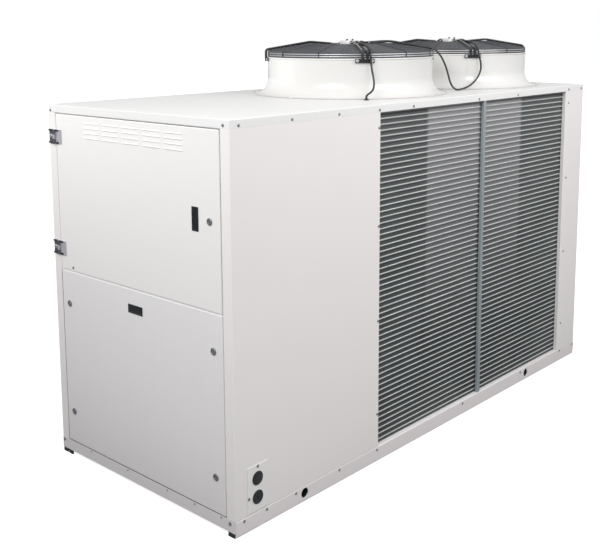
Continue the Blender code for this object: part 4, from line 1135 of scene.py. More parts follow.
def repeated(piece, step, count):
    """Repeats a unit at an even pitch along x."""
    rows = piece.modifiers.new("repeated", "ARRAY")
    rows.use_relative_offset = False
    rows.use_constant_offset = True
    rows.constant_offset_displace = (step, 0.0, 0.0)
    rows.count = count


print("compartment finishes: 2")

# %% Mounting plate
PLATE_X = (0.055, 1.045)
PLATE_Y = 0.3150
PLATE_Z = (0.895, 1.485)
STUD = [(0.0, 0.0), (0.006, 0.0), (0.006, 0.0055), (0.0, 0.0055)]
STUD_INSET = 0.020

mounting = bmesh.new()
add_box(mounting, at(PLATE_X[0], PLATE_Y, PLATE_Z[0]),
        at(PLATE_X[1], PLATE_Y + SHEET, PLATE_Z[1]), 0.0005)
for x in (PLATE_X[0] + STUD_INSET, PLATE_X[1] - STUD_INSET):
    for z in (PLATE_Z[0] + STUD_INSET, PLATE_Z[1] - STUD_INSET):
        add_turned(mounting, STUD, at(x, PLATE_Y + SHEET, z), (0, 1, 0), 16)
finish_piece("mounting_plate", mounting, GALVANISED)

# %% Slotted ducts
DUCT_Z = (0.905, 1.065, 1.245, 1.435)
DUCT_INSET = 0.005
DUCT_DEPTH = 0.055
DUCT_HEIGHT = 0.040
COVER_DEPTH = 0.006
FINGER_START = 0.002
FINGER_WIDTH = 0.0065
FINGER_PITCH = 0.0125
FINGERS = 78

covers = bmesh.new()
for index, z in enumerate(DUCT_Z):
    low = at(PLATE_X[0] + DUCT_INSET, PLATE_Y - GAP - DUCT_DEPTH, z)
    high = at(PLATE_X[1] - DUCT_INSET, PLATE_Y - GAP, z + DUCT_HEIGHT)
    add_box(covers, low, (high.x, low.y + COVER_DEPTH, high.z), 0.0008)
    add_box(covers, (low.x, high.y - 0.003, low.z), high)
    fingers = bmesh.new()
    finger_x = low.x + FINGER_START
    add_box(fingers, (finger_x, low.y + 0.004, low.z + 0.001),
            (finger_x + FINGER_WIDTH, high.y - 0.001, high.z - 0.001))
    finger = finish_piece(f"duct_fingers_{index}", fingers, DUCT_GREY)
    repeated(finger, FINGER_PITCH, FINGERS)
finish_piece("duct_covers", covers, DUCT_GREY)

# %% Rows of switchgear
BREAKER = Vector((0.0175, 0.066, 0.085))
BREAKERS = 24
POLES = 3
POLE_GAP = 0.006
LEVER = Vector((0.0075, 0.008, 0.012))
LEVER_START = Vector((0.005, -0.007, 0.036))
CONTACTOR = Vector((0.045, 0.082, 0.084))
CONTACTORS = 7
CONTACTOR_GAP = 0.010
MAIN_SWITCH = Vector((0.110, 0.095, 0.105))
CONTROLLER = Vector((0.200, 0.060, 0.092))
DRIVE = Vector((0.140, 0.110, 0.095))
ROW_START = 0.085
ROW_Z = (1.317, 1.113)
DEVICE_BACK = PLATE_Y - 0.008


def add_device(shape, x, z, size):
    """A switch whose middle part stands further out than its ends."""
    back = at(x, DEVICE_BACK, z)
    add_box(shape, (back.x, back.y - size.y * 0.72, back.z),
            (back.x + size.x, back.y, back.z + size.z), 0.0008)
    add_box(shape, (back.x + 0.0004, back.y - size.y, back.z + size.z * 0.24),
            (back.x + size.x - 0.0004, back.y - size.y * 0.70, back.z + size.z * 0.76), 0.0008)


breakers, contactors, levers = bmesh.new(), bmesh.new(), bmesh.new()
for index in range(BREAKERS):
    x = ROW_START + index * BREAKER.x + (index // POLES) * POLE_GAP
    add_device(breakers, x, ROW_Z[0], BREAKER)
    lever = at(x, DEVICE_BACK - BREAKER.y, ROW_Z[0]) + LEVER_START
    add_box(levers, lever, lever + LEVER, 0.0008)
for index in range(CONTACTORS):
    add_device(contactors, ROW_START + index * (CONTACTOR.x + CONTACTOR_GAP), ROW_Z[1], CONTACTOR)
add_device(contactors, 0.800, ROW_Z[0] - 0.010, MAIN_SWITCH)
add_device(breakers, 0.520, ROW_Z[1] - 0.002, CONTROLLER)
add_device(contactors, 0.800, ROW_Z[1] - 0.002, DRIVE)
finish_piece("circuit_breakers", breakers, DEVICE_GREY)
finish_piece("breaker_levers", levers, PULL_BLACK)
finish_piece("contactors", contactors, PLUG_BLACK)

# %% Terminals and the rails that everything clips on
TERMINAL_END = ROW_START + 0.0052
TERMINAL_PITCH = 0.0062
TERMINALS = 118
TERMINAL_RAIL_Z = 0.985
RAIL_X = (0.070, 1.030)
RAIL_HEIGHT = 0.035
RAIL_RISE = 0.025

terminal = bmesh.new()
for depth, low_z, high_z in ((0.052, 0.975, 1.030), (0.045, 0.965, 0.9745)):
    add_box(terminal, at(ROW_START, PLATE_Y - depth, low_z), at(TERMINAL_END, DEVICE_BACK, high_z), 0.0005)
repeated(finish_piece("terminal_row", terminal, DEVICE_GREY), TERMINAL_PITCH, TERMINALS)
rails = bmesh.new()
for z in (ROW_Z[0] + RAIL_RISE, ROW_Z[1] + RAIL_RISE, TERMINAL_RAIL_Z):
    add_box(rails, at(RAIL_X[0], PLATE_Y - 0.0075, z), at(RAIL_X[1], PLATE_Y - GAP, z + RAIL_HEIGHT),
            0.0005)
finish_piece("device_rails", rails, BRIGHT_ZINC)

# %% A seal round the opening
SEAL_X = (0.030, 1.070)
SEAL_Y = (0.0205, 0.0245)
SEAL_Z = (0.8540, 1.5000)
SEAL_WIDTH = 0.010

seal = bmesh.new()
for low_z in (SEAL_Z[0], SEAL_Z[1] - SEAL_WIDTH):
    add_box(seal, at(SEAL_X[0], SEAL_Y[0], low_z), at(SEAL_X[1], SEAL_Y[1], low_z + SEAL_WIDTH), 0.0012)
for low_x in (SEAL_X[0], SEAL_X[1] - SEAL_WIDTH):
    add_box(seal, at(low_x, SEAL_Y[0], SEAL_Z[0]), at(low_x + SEAL_WIDTH, SEAL_Y[1], SEAL_Z[1]), 0.0012)
finish_piece("compartment_seal", seal, RUBBER)

# %% The back of the door
STIFFENER_WIDTH = 0.040
POCKET_DEPTH = 0.200
CAM_NUT = [(0.0, 0.0), (0.012, 0.0), (0.012, 0.009), (0.0, 0.009)]
CAM_HALF = 0.008

inner = bmesh.new()
for x in (0.180, 0.800):
    add_box(inner, at(x, 0.0018, 0.860), at(x + STIFFENER_WIDTH, 0.0145, 1.395), 0.002)
finish_piece("door_stiffeners", inner, GALVANISED, "door")
pocket = bmesh.new()
add_box(pocket, at(0.330, 0.0020, 0.930), at(0.640, 0.0150, 1.150), 0.003)
face = max((f for f in pocket.faces if f.normal.z > 0.9), key=lambda f: f.calc_area())
bmesh.ops.inset_region(pocket, faces=[face], thickness=0.0018, use_even_offset=True)
bmesh.ops.translate(pocket, verts=face.verts[:], vec=(0.0, 0.0, -POCKET_DEPTH))
finish_piece("document_pocket", pocket, DUCT_GREY, "door")
cam = bmesh.new()
add_turned(cam, CAM_NUT, at(LOCK_X, 0.0020, door_pull.z), (0, 1, 0), 6)
add_box(cam, at(0.985, 0.0112, door_pull.z - CAM_HALF), at(1.020, 0.0142, door_pull.z + CAM_HALF), 0.0008)
finish_piece("lock_cam", cam, BRIGHT_ZINC, "door")

# %% Strips of the frame that fill the seams of the doors
lintel = bmesh.new()
add_box(lintel, at(0.0500, 0.0016, 0.8300), at(1.0500, 0.0040, 0.8340))
add_box(lintel, at(0.0504, 0.0022, 0.8350), at(0.0520, 0.0046, 1.4920))
add_box(lintel, at(0.0500, 0.0035, DOOR_HIGH.z + 0.0022), at(1.0500, 0.0060, DOOR_HIGH.z + 0.0049))
finish_piece("door_lintel", lintel, CABINET_WHITE)

# %% [markdown]
# ## Gland plate and plugs
#
# Cables and sensors enter through a small plate low on the right side. Its two openings
# are closed with domed plastic plugs until they are needed.

# %% Gland plate
PLUG_DOME = [(1.0, 0.0), (1.0, 0.35), (0.96, 0.62), (0.86, 0.70), (0.80, 0.55), (0.74, 0.62),
             (0.5, 0.88), (0.2, 1.0), (0.0, 1.0)]

plate_low, plate_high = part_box("gland_plate")
plate = bmesh.new()
add_box(plate, plate_low, plate_high, 0.0005)
even_shading(finish_piece("entry_plate", plate, CABINET_WHITE,
                          instead=["gland_plate"]))
for label in ("upper", "lower"):
    low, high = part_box(f"gland_plug_{label}")
    radius = (high.z - low.z) / 2
    proud = high.x - low.x
    seat = Vector((low.x, (low.y + high.y) / 2, (low.z + high.z) / 2))
    plug = bmesh.new()
    profile = [(radius * across, proud * up) for across, up in PLUG_DOME]
    add_turned(plug, profile, seat, (1, 0, 0), 48)
    finish_piece(f"entry_plug_{label}", plug, PLUG_BLACK,
                 instead=[f"gland_plug_{label}"])

# %% [markdown]
# ## The coils
#
# A fin block has a ridge over every tube row. One ridge is a short strip of the fin face,
# extruded along the coil's length. The strip is copied once for every row, and the rows are
# merged into one face, which gets its depth from the core behind it.

# %% Build a coil
COIL_DEPTH = 0.066
RIDGE = ((0.000, 0.0032), (0.36, 0.0032), (0.43, 0.0020), (0.48, 0.0006), (0.55, 0.0),
         (0.62, 0.0006), (0.67, 0.0020), (0.74, 0.0032), (1.0, 0.0032))


def add_coil(side):
    """The ridged fin face of one coil in front of its core."""
    low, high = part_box(f"coil_{side}")
    outer, inwards = (high.x, -1.0) if side == "right" else (low.x, 1.0)
    shape = bmesh.new()
    corners = [shape.verts.new((outer + inwards * depth, low.y, low.z + share * ROW_PITCH))
               for share, depth in RIDGE]
    edges = [shape.edges.new(pair) for pair in zip(corners, corners[1:])]
    grown = bmesh.ops.extrude_edge_only(shape, edges=edges)["geom"]
    tips = [part for part in grown if isinstance(part, bmesh.types.BMVert)]
    bmesh.ops.translate(shape, verts=tips, vec=(0.0, high.y - low.y, 0.0))
    strip = [*shape.verts, *shape.edges, *shape.faces]
    for row in range(1, COIL_ROWS):
        made = bmesh.ops.duplicate(shape, geom=strip)["geom"]
        moved = [part for part in made if isinstance(part, bmesh.types.BMVert)]
        bmesh.ops.translate(shape, verts=moved, vec=(0.0, 0.0, row * ROW_PITCH))
    bmesh.ops.remove_doubles(shape, verts=shape.verts, dist=WELD)
    rim = [edge for edge in shape.edges if edge.is_boundary]
    grown = bmesh.ops.extrude_edge_only(shape, edges=rim)["geom"]
    back = [part for part in grown if isinstance(part, bmesh.types.BMVert)]
    for corner in back:
        corner.co.x = outer + inwards * COIL_DEPTH
    bmesh.ops.remove_doubles(shape, verts=back, dist=WELD)
    bmesh.ops.holes_fill(shape, edges=[edge for edge in shape.edges if edge.is_boundary], sides=0)
    bmesh.ops.recalc_face_normals(shape, faces=shape.faces)
    return finish_piece(f"{side}_coil", shape, COIL_FINISH, instead=[f"coil_{side}"],
                        sharp=50.0)


for side in ("left", "right"):
    add_coil(side)
    bar = softened(f"coil_bar_{side}", fold=0.0025)
    even_shading(finish_piece(f"{side}_coil_bar", bar, BAR_ZINC,
                              instead=[f"coil_bar_{side}"]))

# %% [markdown]
# ## Bell mouths
#
# Each fan turns inside a white bell mouth: a flared foot on the roof, a straight wall and
# a rolled lip. It is one profile spun round the fan's axis. Where the two rings would meet,
# both are cut straight along the middle, so the spun shape is bisected there and closed.

# %% The section of a bell mouth
SHROUD_RADIUS = 0.3925
SHROUD_WALL = 0.003
SHROUD_HEIGHT = 0.175
SHROUD_STEPS = 160
FLARE_STEPS = 12
FLARE_WIDTH = 0.060
FLARE_HEIGHT = 0.080
RING_RADIUS = 0.462
LIP_REACH = 0.003
LIP_HEIGHT = 0.008


def shroud_profile():
    """The closed section of a bell mouth, as radius and height above the roof."""
    bend = SHROUD_RADIUS + FLARE_WIDTH
    outer, inner = [], []
    for step in range(7):
        angle = math.radians(-90.0 + 30.0 * step)
        outer.append((SHROUD_RADIUS + (LIP_REACH - 0.0002) * math.cos(angle),
                      SHROUD_HEIGHT - LIP_HEIGHT / 2 + LIP_HEIGHT / 2 * math.sin(angle)))
    outer.reverse()
    for step in range(FLARE_STEPS + 1):
        angle = math.pi + step / FLARE_STEPS * math.pi / 2
        outer.append((bend + FLARE_WIDTH * math.cos(angle),
                      FLARE_HEIGHT + GAP + (FLARE_HEIGHT - SHROUD_WALL) * math.sin(angle)))
        inner.append((bend + (FLARE_WIDTH + SHROUD_WALL) * math.cos(angle),
                      FLARE_HEIGHT + GAP + FLARE_HEIGHT * math.sin(angle)))
    outer += [(RING_RADIUS - 0.001, SHROUD_WALL + GAP), (RING_RADIUS, SHROUD_WALL + GAP - 0.001),
              (RING_RADIUS, GAP)]
    return outer + inner[::-1] + [(SHROUD_RADIUS - SHROUD_WALL, SHROUD_HEIGHT - 0.001)]


def cut_ring(profile, fan_y, clip_sign):
    """A ring about a fan's axis, cut off where the other fan's one starts."""
    shape = bmesh.new()
    add_turned(shape, profile, at(FAN_X, fan_y, TOP), steps=SHROUD_STEPS)
    middle = at(0.0, sum(FAN_Y) / 2 + clip_sign * GAP)
    cut = bmesh.ops.bisect_plane(shape, geom=[*shape.verts, *shape.edges, *shape.faces],
                                 plane_co=middle, plane_no=(0.0, -clip_sign, 0.0), clear_outer=True)
    rim = [part for part in cut["geom_cut"] if isinstance(part, bmesh.types.BMEdge)]
    bmesh.ops.contextual_create(shape, geom=rim)
    bmesh.ops.holes_fill(shape, edges=[edge for edge in shape.edges if edge.is_boundary], sides=0)
    bmesh.ops.recalc_face_normals(shape, faces=shape.faces)
    return shape


print("ring helpers ready")

# %% Spin the bell mouths
# The grey strip round each flange's edge is a painted shadow line.
FLANGE_SHADOW_PROFILE = [(RING_RADIUS - 0.004, GAP), (RING_RADIUS + 0.0012, GAP), (RING_RADIUS + 0.0014, 0.0042),
               (RING_RADIUS + 0.0002, 0.0046)]
SEAM_ANGLES = (math.radians(120.0), math.radians(-44.5))
SEAM_HALF = 0.005
SEAM_LOW = (SHROUD_RADIUS - 0.001, -SEAM_HALF, FLARE_HEIGHT)
SEAM_HIGH = (SHROUD_RADIUS + 0.0010, SEAM_HALF, SHROUD_HEIGHT - LIP_HEIGHT - 0.001)

for number, (fan_y, clip_sign) in enumerate(zip(FAN_Y, (-1, 1)), start=1):
    mouth = cut_ring(shroud_profile(), fan_y, clip_sign)
    seam = Matrix.Translation(at(FAN_X, fan_y, TOP)) @ Matrix.Rotation(SEAM_ANGLES[number - 1], 4, "Z")
    add_box(mouth, SEAM_LOW, SEAM_HIGH, 0.0006, turn=seam)
    finish_piece(f"bell_mouth_{number}", mouth, SHROUD_WHITE_SHADED,
                 instead=[f"fan_{number}_shroud"], sharp=40.0)
    finish_piece(f"flange_shadow_line_{number}", cut_ring(FLANGE_SHADOW_PROFILE, fan_y, clip_sign), FLANGE_SHADOW_FINISH,
                 sharp=40.0)

# %% [markdown]
# ## Wire guards
#
# A guard keeps hands and birds out of the fan. Rings of wire, one every 12 mm, are welded
# under fine wires and a few strong ones, which run from the eye out to the rim and bend
# down over it. Two bare silver rings and three dark ones close the upright part, and the
# lowest dark ring also stands in for the shadow where the guard meets the bell mouth's lip.
# Every ring is a small circle spun round the axis, with few sides, because there are so many
# of them.

# %% The guard's sizes and its crown
GUARD_WIRE = 0.00175
GUARD_RADIUS = 0.3885
GUARD_EYE = 0.112
GUARD_CREST = 0.200
GUARD_RINGS = 24
GUARD_RISE = 0.0255
GUARD_DOME = 0.0325
GUARD_SAG = 0.008
GUARD_SPOKES = 12
SPOKE_REACH = 0.3950
FINE_WIRE = 0.0007
FINE_SPOKES = 96
RING_STEPS = 112
RIM_WIRE = 0.0027
RIM_RISES = (0.0080, 0.0176)
DARK_WIRE = 0.0023
# The lowest dark ring is partly a painted shadow line at the bell mouth's lip.
DARK_AND_SHADOW_RISES = (0.0028, 0.0128, 0.0220)


def crown(radius):
    """The guard's height above the roof at a radius: up to a crest, then down to the eye."""
    rim = SHROUD_HEIGHT + GUARD_RISE
    if radius > GUARD_CREST:
        return rim + GUARD_DOME * (GUARD_RADIUS - radius) / (GUARD_RADIUS - GUARD_CREST)
    return rim + GUARD_DOME - GUARD_SAG * (GUARD_CREST - radius) / (GUARD_CREST - GUARD_EYE)


def arm_angles():
    """The directions of a fan's four arms."""
    return [FRONT_ARM + math.tau * index / 4 for index in range(4)]


print(f"guard rings every {(GUARD_RADIUS - GUARD_EYE) / (GUARD_RINGS - 1) * 1000:.1f} mm")

# %% Rings and spokes
def add_rings(shape, fan_y, rings, wire, sides=6):
    """Rings of round wire about the fan's axis, each a (radius, height), in one spin."""
    centre = at(FAN_X, fan_y, TOP)
    circles = []
    for radius, height in rings:
        matrix = Matrix.Translation(centre + Vector((radius, 0.0, height))) @ Matrix.Rotation(
            math.pi / 2, 4, "X")
        corners = bmesh.ops.create_circle(shape, segments=sides, radius=wire, matrix=matrix)["verts"]
        circles += corners + list({edge for corner in corners for edge in corner.link_edges})
    bmesh.ops.spin(shape, geom=circles, cent=centre, axis=(0, 0, 1), angle=math.tau, steps=RING_STEPS,
                   use_merge=True, use_duplicate=False)
    bmesh.ops.recalc_face_normals(shape, faces=shape.faces)


def round_fan(fan_y, points, angle):
    """Points given as radius and height, turned about the fan's axis."""
    outwards = Vector((math.cos(angle), math.sin(angle), 0.0))
    base = at(FAN_X, fan_y, TOP)
    return [base + outwards * radius + Vector((0.0, 0.0, height)) for radius, height in points]


def add_spokes(shape, fan_y, points, wire, sides, first, step, count):
    """Rods from the eye to the rim, one copied round the axis at equal steps."""
    rods = bmesh.new()
    add_rod(rods, rounded_path(round_fan(fan_y, points, first), 0.008, 3), wire, sides)
    bmesh.ops.spin(rods, geom=[*rods.verts, *rods.edges, *rods.faces], cent=at(FAN_X, fan_y, TOP),
                   axis=(0, 0, 1), angle=step * (count - 1), steps=count - 1, use_duplicate=True)
    joined(shape, rods)


print("wire helpers ready")

# %% Weld the guards
def add_guard(number, fan_y):
    """The wires of one guard: the fine mesh, the strong dark wires and the silver rim."""
    shape, mesh = bmesh.new(), bmesh.new()
    over = 2 * GUARD_WIRE
    spoke = [(GUARD_EYE - 0.003, crown(GUARD_EYE) + over), (GUARD_CREST, crown(GUARD_CREST) + over),
             (SPOKE_REACH, crown(GUARD_RADIUS) + over - 0.0005), (SPOKE_REACH, SHROUD_HEIGHT + 0.0020)]
    step = math.tau / GUARD_SPOKES
    for arm in arm_angles():
        add_spokes(shape, fan_y, spoke, GUARD_WIRE, 6, arm + step, step, 2)
    above = GUARD_WIRE + FINE_WIRE
    fine = [(GUARD_EYE - 0.002, crown(GUARD_EYE) + above), (GUARD_CREST, crown(GUARD_CREST) + above),
            (GUARD_RADIUS + 0.002, crown(GUARD_RADIUS) + above)]
    add_spokes(mesh, fan_y, fine, FINE_WIRE, 4, 0.0, math.tau / FINE_SPOKES, FINE_SPOKES)
    radii = [GUARD_RADIUS - (GUARD_RADIUS - GUARD_EYE) * index / (GUARD_RINGS - 1)
             for index in range(GUARD_RINGS)]
    rings = bmesh.new()
    add_rings(rings, fan_y, [(radius, crown(radius)) for radius in radii], GUARD_WIRE)
    # The mesh takes the lighter copy of the wire coat, as painted light.
    finish_piece(f"guard_mesh_{number}", joined(mesh, rings), WIRE_GREY_LIT,
                 instead=[f"fan_{number}_guard"], sharp=70.0)
    upright = bmesh.new()
    rim_radius = SPOKE_REACH - GUARD_WIRE - RIM_WIRE - 0.0001
    add_rings(upright, fan_y, [(rim_radius - 0.0004, SHROUD_HEIGHT + rise) for rise in DARK_AND_SHADOW_RISES],
              DARK_WIRE, 8)
    finish_piece(f"fan_guard_{number}", joined(shape, upright), WIRE_BLACK,
                 instead=[f"fan_{number}_guard"], sharp=70.0)
    rim = bmesh.new()
    add_rings(rim, fan_y, [(rim_radius, SHROUD_HEIGHT + rise) for rise in RIM_RISES], RIM_WIRE, 8)
    finish_piece(f"rim_wires_{number}", rim, RIM_SILVER, sharp=70.0)


for number, fan_y in enumerate(FAN_Y, start=1):
    add_guard(number, fan_y)

# %% [markdown]
# ## Arms and brackets
#
# Four pairs of square bars carry the motor. They start on brackets bolted to the bell
# mouth, bend inwards over the guard, rise towards the middle and end under a hub plate.
# Each bar is a square rod along a path with rounded corners.

# %% The arms' sizes and a bolt
ARM_HALF = 0.004
ARM_SPACING = 0.022
FOOT_RADIUS = SHROUD_RADIUS + LIP_REACH + GAP + 0.0015 + ARM_HALF
ARM_PATH = [(FOOT_RADIUS, 0.155), (FOOT_RADIUS, 0.209), (0.190, 0.244), (0.088, 0.2355)]
HUB_RADIUS = 0.104
HUB_TOP = 0.231
HUB_PLATE = 0.003
HUB_ROUND = 0.0006
BRACKET = Vector((0.003, 0.085, 0.018))
BRACKET_LOW = Vector((SHROUD_RADIUS + LIP_REACH + GAP, -BRACKET.y / 2, 0.155))
BRACKET_BOLT = 0.033


def add_bolt(shape, place, direction, radius, proud):
    """A hexagon head with a round washer under it."""
    washer = [(0.0, 0.0), (radius * 1.35, 0.0), (radius * 1.35, proud * 0.22), (0.0, proud * 0.22)]
    add_turned(shape, washer, place, direction, 20)
    head = [(0.0, proud * 0.22), (radius, proud * 0.22), (radius, proud * 0.88), (radius * 0.86, proud),
            (0.0, proud)]
    add_turned(shape, head, place, direction, 6)


print("bolt helper ready")

# %% Bend the arms
def add_arms(number, fan_y):
    """The eight bars of one fan, with their brackets, bolts and hub plate."""
    shape = bmesh.new()
    bolts = bmesh.new()
    centre = at(FAN_X, fan_y, TOP)
    for angle in arm_angles():
        outwards = Vector((math.cos(angle), math.sin(angle), 0.0))
        sideways = Vector((-math.sin(angle), math.cos(angle), 0.0))
        for side in (-0.5, 0.5):
            path = [point + sideways * side * ARM_SPACING for point in round_fan(fan_y, ARM_PATH, angle)]
            add_rod(shape, rounded_path(path, 0.012, 5), ARM_HALF * math.sqrt(2), 4, math.pi / 4)
        turn = Matrix.Translation(centre) @ Matrix.Rotation(angle, 4, "Z")
        add_box(shape, BRACKET_LOW, BRACKET_LOW + BRACKET, 0.0005, turn=turn)
        for side in (-1, 1):
            spot = centre + outwards * (BRACKET_LOW.x + BRACKET.x) + sideways * side * BRACKET_BOLT
            add_bolt(bolts, spot + Vector((0.0, 0.0, BRACKET_LOW.z + BRACKET.z / 2)), outwards,
                     0.0052, 0.0045)
            spot = centre + outwards * (HUB_RADIUS - 0.013) + sideways * side * ARM_SPACING / 2
            add_bolt(bolts, spot + Vector((0.0, 0.0, HUB_TOP + 2 * ARM_HALF - 0.0010)), (0, 0, 1),
                     0.0040, 0.0035)
    round_edges(shape, corners_of(shape), 0.0014, 3)
    low, high = HUB_TOP - HUB_PLATE, HUB_TOP
    hub = [(0.0, low), (HUB_RADIUS - HUB_ROUND, low), (HUB_RADIUS, low + HUB_ROUND),
           (HUB_RADIUS, high - HUB_ROUND), (HUB_RADIUS - HUB_ROUND, high), (0.0, high)]
    add_turned(shape, hub, centre, steps=64)
    even_shading(finish_piece(f"fan_arms_{number}", shape, ARM_BLACK,
                              instead=[f"fan_{number}_arms"]))
    finish_piece(f"arm_bolts_{number}", bolts, BRIGHT_ZINC)


for number, fan_y in enumerate(FAN_Y, start=1):
    add_arms(number, fan_y)

# %% [markdown]
# ## Motors and their caps
#
# Each motor hangs under its hub plate, with upright ribs that shed heat. On top stands the
# white cap of its terminal box, with two small plugs and a gland for each cable. The ribs
# are every second side of a cylinder, pressed in.

# %% Cast the motors
MOTOR_TOP = HUB_TOP - HUB_PLATE - GAP
MOTOR_RADIUS = 0.075
MOTOR_HEIGHT = 0.090
MOTOR_SIDES = 72
RIB_DEPTH = 0.005
SHAFT = [(0.0, -0.045), (0.014, -0.045), (0.015, -0.044), (0.015, 0.0), (0.032, 0.001), (0.032, 0.004),
         (0.0, 0.004)]


def add_motor(number, fan_y):
    """A ribbed motor under its hub plate, with its shaft."""
    centre = at(FAN_X, fan_y, TOP)
    body = bmesh.new()
    middle = centre + Vector((0.0, 0.0, MOTOR_TOP - MOTOR_HEIGHT / 2))
    bmesh.ops.create_cone(body, cap_ends=True, segments=MOTOR_SIDES, radius1=MOTOR_RADIUS,
                          radius2=MOTOR_RADIUS, depth=MOTOR_HEIGHT, matrix=Matrix.Translation(middle))
    body.normal_update()
    sides = [face for face in body.faces if abs(face.normal.z) < 0.5]
    sides.sort(key=lambda face: math.atan2(face.normal.y, face.normal.x))
    bmesh.ops.inset_individual(body, faces=sides[::2], thickness=0.0012, depth=-RIB_DEPTH,
                               use_even_offset=True)
    bmesh.ops.recalc_face_normals(body, faces=body.faces)
    add_turned(body, SHAFT, centre + Vector((0.0, 0.0, MOTOR_TOP - MOTOR_HEIGHT)))
    finish_piece(f"fan_motor_{number}", body, MOTOR_GREY, instead=[f"fan_{number}_motor"])


# %% Their caps, glands and plugs
CAP_BASE = HUB_TOP + GAP
CAP_RADIUS = 0.049
CAP_HEIGHT = 0.018
CAP = [(0.0, 0.0), (CAP_RADIUS, 0.0), (CAP_RADIUS, 0.012), (CAP_RADIUS - 0.0012, 0.0152),
       (CAP_RADIUS - 0.0035, 0.0172), (CAP_RADIUS - 0.007, CAP_HEIGHT), (0.0, CAP_HEIGHT)]
GLAND = [(0.0045, 0.0), (0.0075, 0.0), (0.0075, 0.006), (0.0070, 0.0065), (0.0070, 0.012),
         (0.0062, 0.0155), (0.0050, 0.0172), (0.0046, 0.0172)]
NUB = [(0.0, 0.0), (0.005, 0.0), (0.005, 0.0048), (0.004, 0.006), (0.0, 0.006)]
NUB_ASIDE = 0.017


def add_cap(number, fan_y, gland_angles):
    """The white cap on a hub plate, with a gland for each cable and two nubs on top."""
    centre = at(FAN_X, fan_y, TOP)
    cap = bmesh.new()
    add_turned(cap, CAP, centre + Vector((0.0, 0.0, CAP_BASE)), steps=72)
    finish_piece(f"motor_cap_{number}", cap, SHROUD_WHITE_SHADED,
                 instead=[f"fan_{number}_motor_cap"])
    glands = bmesh.new()
    for angle in gland_angles:
        outwards = Vector((math.cos(angle), math.sin(angle), 0.0))
        spot = centre + outwards * (CAP_RADIUS - 0.0005) + Vector((0.0, 0.0, CAP_BASE + CAP_HEIGHT / 2))
        add_turned(glands, GLAND, spot, outwards, 24)
    for side in (-1, 1):
        spot = centre + Vector((side * NUB_ASIDE, 0.0, CAP_BASE + CAP_HEIGHT))
        add_turned(glands, NUB, spot, steps=24)
    finish_piece(f"motor_glands_{number}", glands, PULL_BLACK)


for number, gland_angles in ((1, (FRONT_ARM, REAR_ARM)), (2, (FRONT_ARM,))):
    add_motor(number, FAN_Y[number - 1])
    add_cap(number, FAN_Y[number - 1], gland_angles)

# %% [markdown]
# ## Impellers
#
# Seven broad blades stand on a hub, twisted so that their tips are flatter than their
# roots, and swept back for quiet running. A blade starts as a flat grid: one direction runs
# from root to tip, the other from the leading to the trailing edge, and each point is
# moved to its radius, pitch and sweep. A wall and one subdivision make it a moulded blade.

# %% Mould the impellers
BLADES = 7
HUB_OUTSIDE = 0.115
HUB_DEPTH = 0.080
BLADE_TIP = 0.3815
BLADE_ROOT = HUB_OUTSIDE - 0.012
BLADE_WALL = 0.004
BLADE_SWEEP = math.radians(22.0)
ROOT_PITCH = 34.0
PITCH_LOSS = 17.0
SHAFT_HOLE = 0.0165
HUB_RIM = 0.006
IMPELLER_DROP = 0.006


def blade_point(along, out, turn, middle_z):
    """Where a point of the flat grid lies on a blade: along is -0.5 to 0.5, out is 0 to 1."""
    radius = BLADE_ROOT + (BLADE_TIP - BLADE_ROOT) * out
    pitch = math.radians(ROOT_PITCH - PITCH_LOSS * out)
    chord = 0.125 + 0.045 * out
    run = along * chord
    camber = 0.06 * chord * (1.0 - (2.0 * along) ** 2)
    angle = BLADE_SWEEP * out ** 2 + run * math.cos(pitch) / radius + turn
    height = middle_z + run * math.sin(pitch) + camber * math.cos(pitch)
    return Vector((radius * math.cos(angle), radius * math.sin(angle), height))


def add_impeller(number, fan_y):
    """A hub with its blades, which turns under the motor."""
    centre = at(FAN_X, fan_y, TOP)
    top = MOTOR_TOP - MOTOR_HEIGHT - IMPELLER_DROP
    middle_z = top - HUB_DEPTH / 2
    hub = bmesh.new()
    low, near = HUB_OUTSIDE - HUB_RIM, HUB_OUTSIDE - HUB_RIM * 0.3
    profile = [(SHAFT_HOLE, -HUB_DEPTH), (low, -HUB_DEPTH), (near, -HUB_DEPTH + HUB_RIM * 0.3),
               (HUB_OUTSIDE, -HUB_DEPTH + HUB_RIM), (HUB_OUTSIDE, -HUB_RIM), (near, -HUB_RIM * 0.3),
               (low, 0.0), (SHAFT_HOLE, 0.0)]
    add_turned(hub, profile, centre + Vector((0.0, 0.0, top)), steps=72)
    finish_piece(f"fan_hub_{number}", hub, BLADE_BLACK, f"fan_rotor_{number}")
    blades = bmesh.new()
    for index in range(BLADES):
        grid = bmesh.ops.create_grid(blades, x_segments=8, y_segments=10, size=0.5)["verts"]
        turn = math.tau * index / BLADES
        for corner in grid:
            corner.co = centre + blade_point(corner.co.x, corner.co.y + 0.5, turn, middle_z)
    bmesh.ops.recalc_face_normals(blades, faces=blades.faces)
    piece = wall(finish_piece(f"fan_blades_{number}", blades, BLADE_BLACK,
                              f"fan_rotor_{number}", [f"fan_{number}_impeller"]), BLADE_WALL, 0.0)
    soft = piece.modifiers.new("moulded", "SUBSURF")
    soft.levels = soft.render_levels = 1


for number, fan_y in enumerate(FAN_Y, start=1):
    add_impeller(number, fan_y)

# %% [markdown]
# ## Roof fittings
#
# The first cable goes through the roof in a rubber grommet with a rounded collar. It is a
# small profile, spun once.

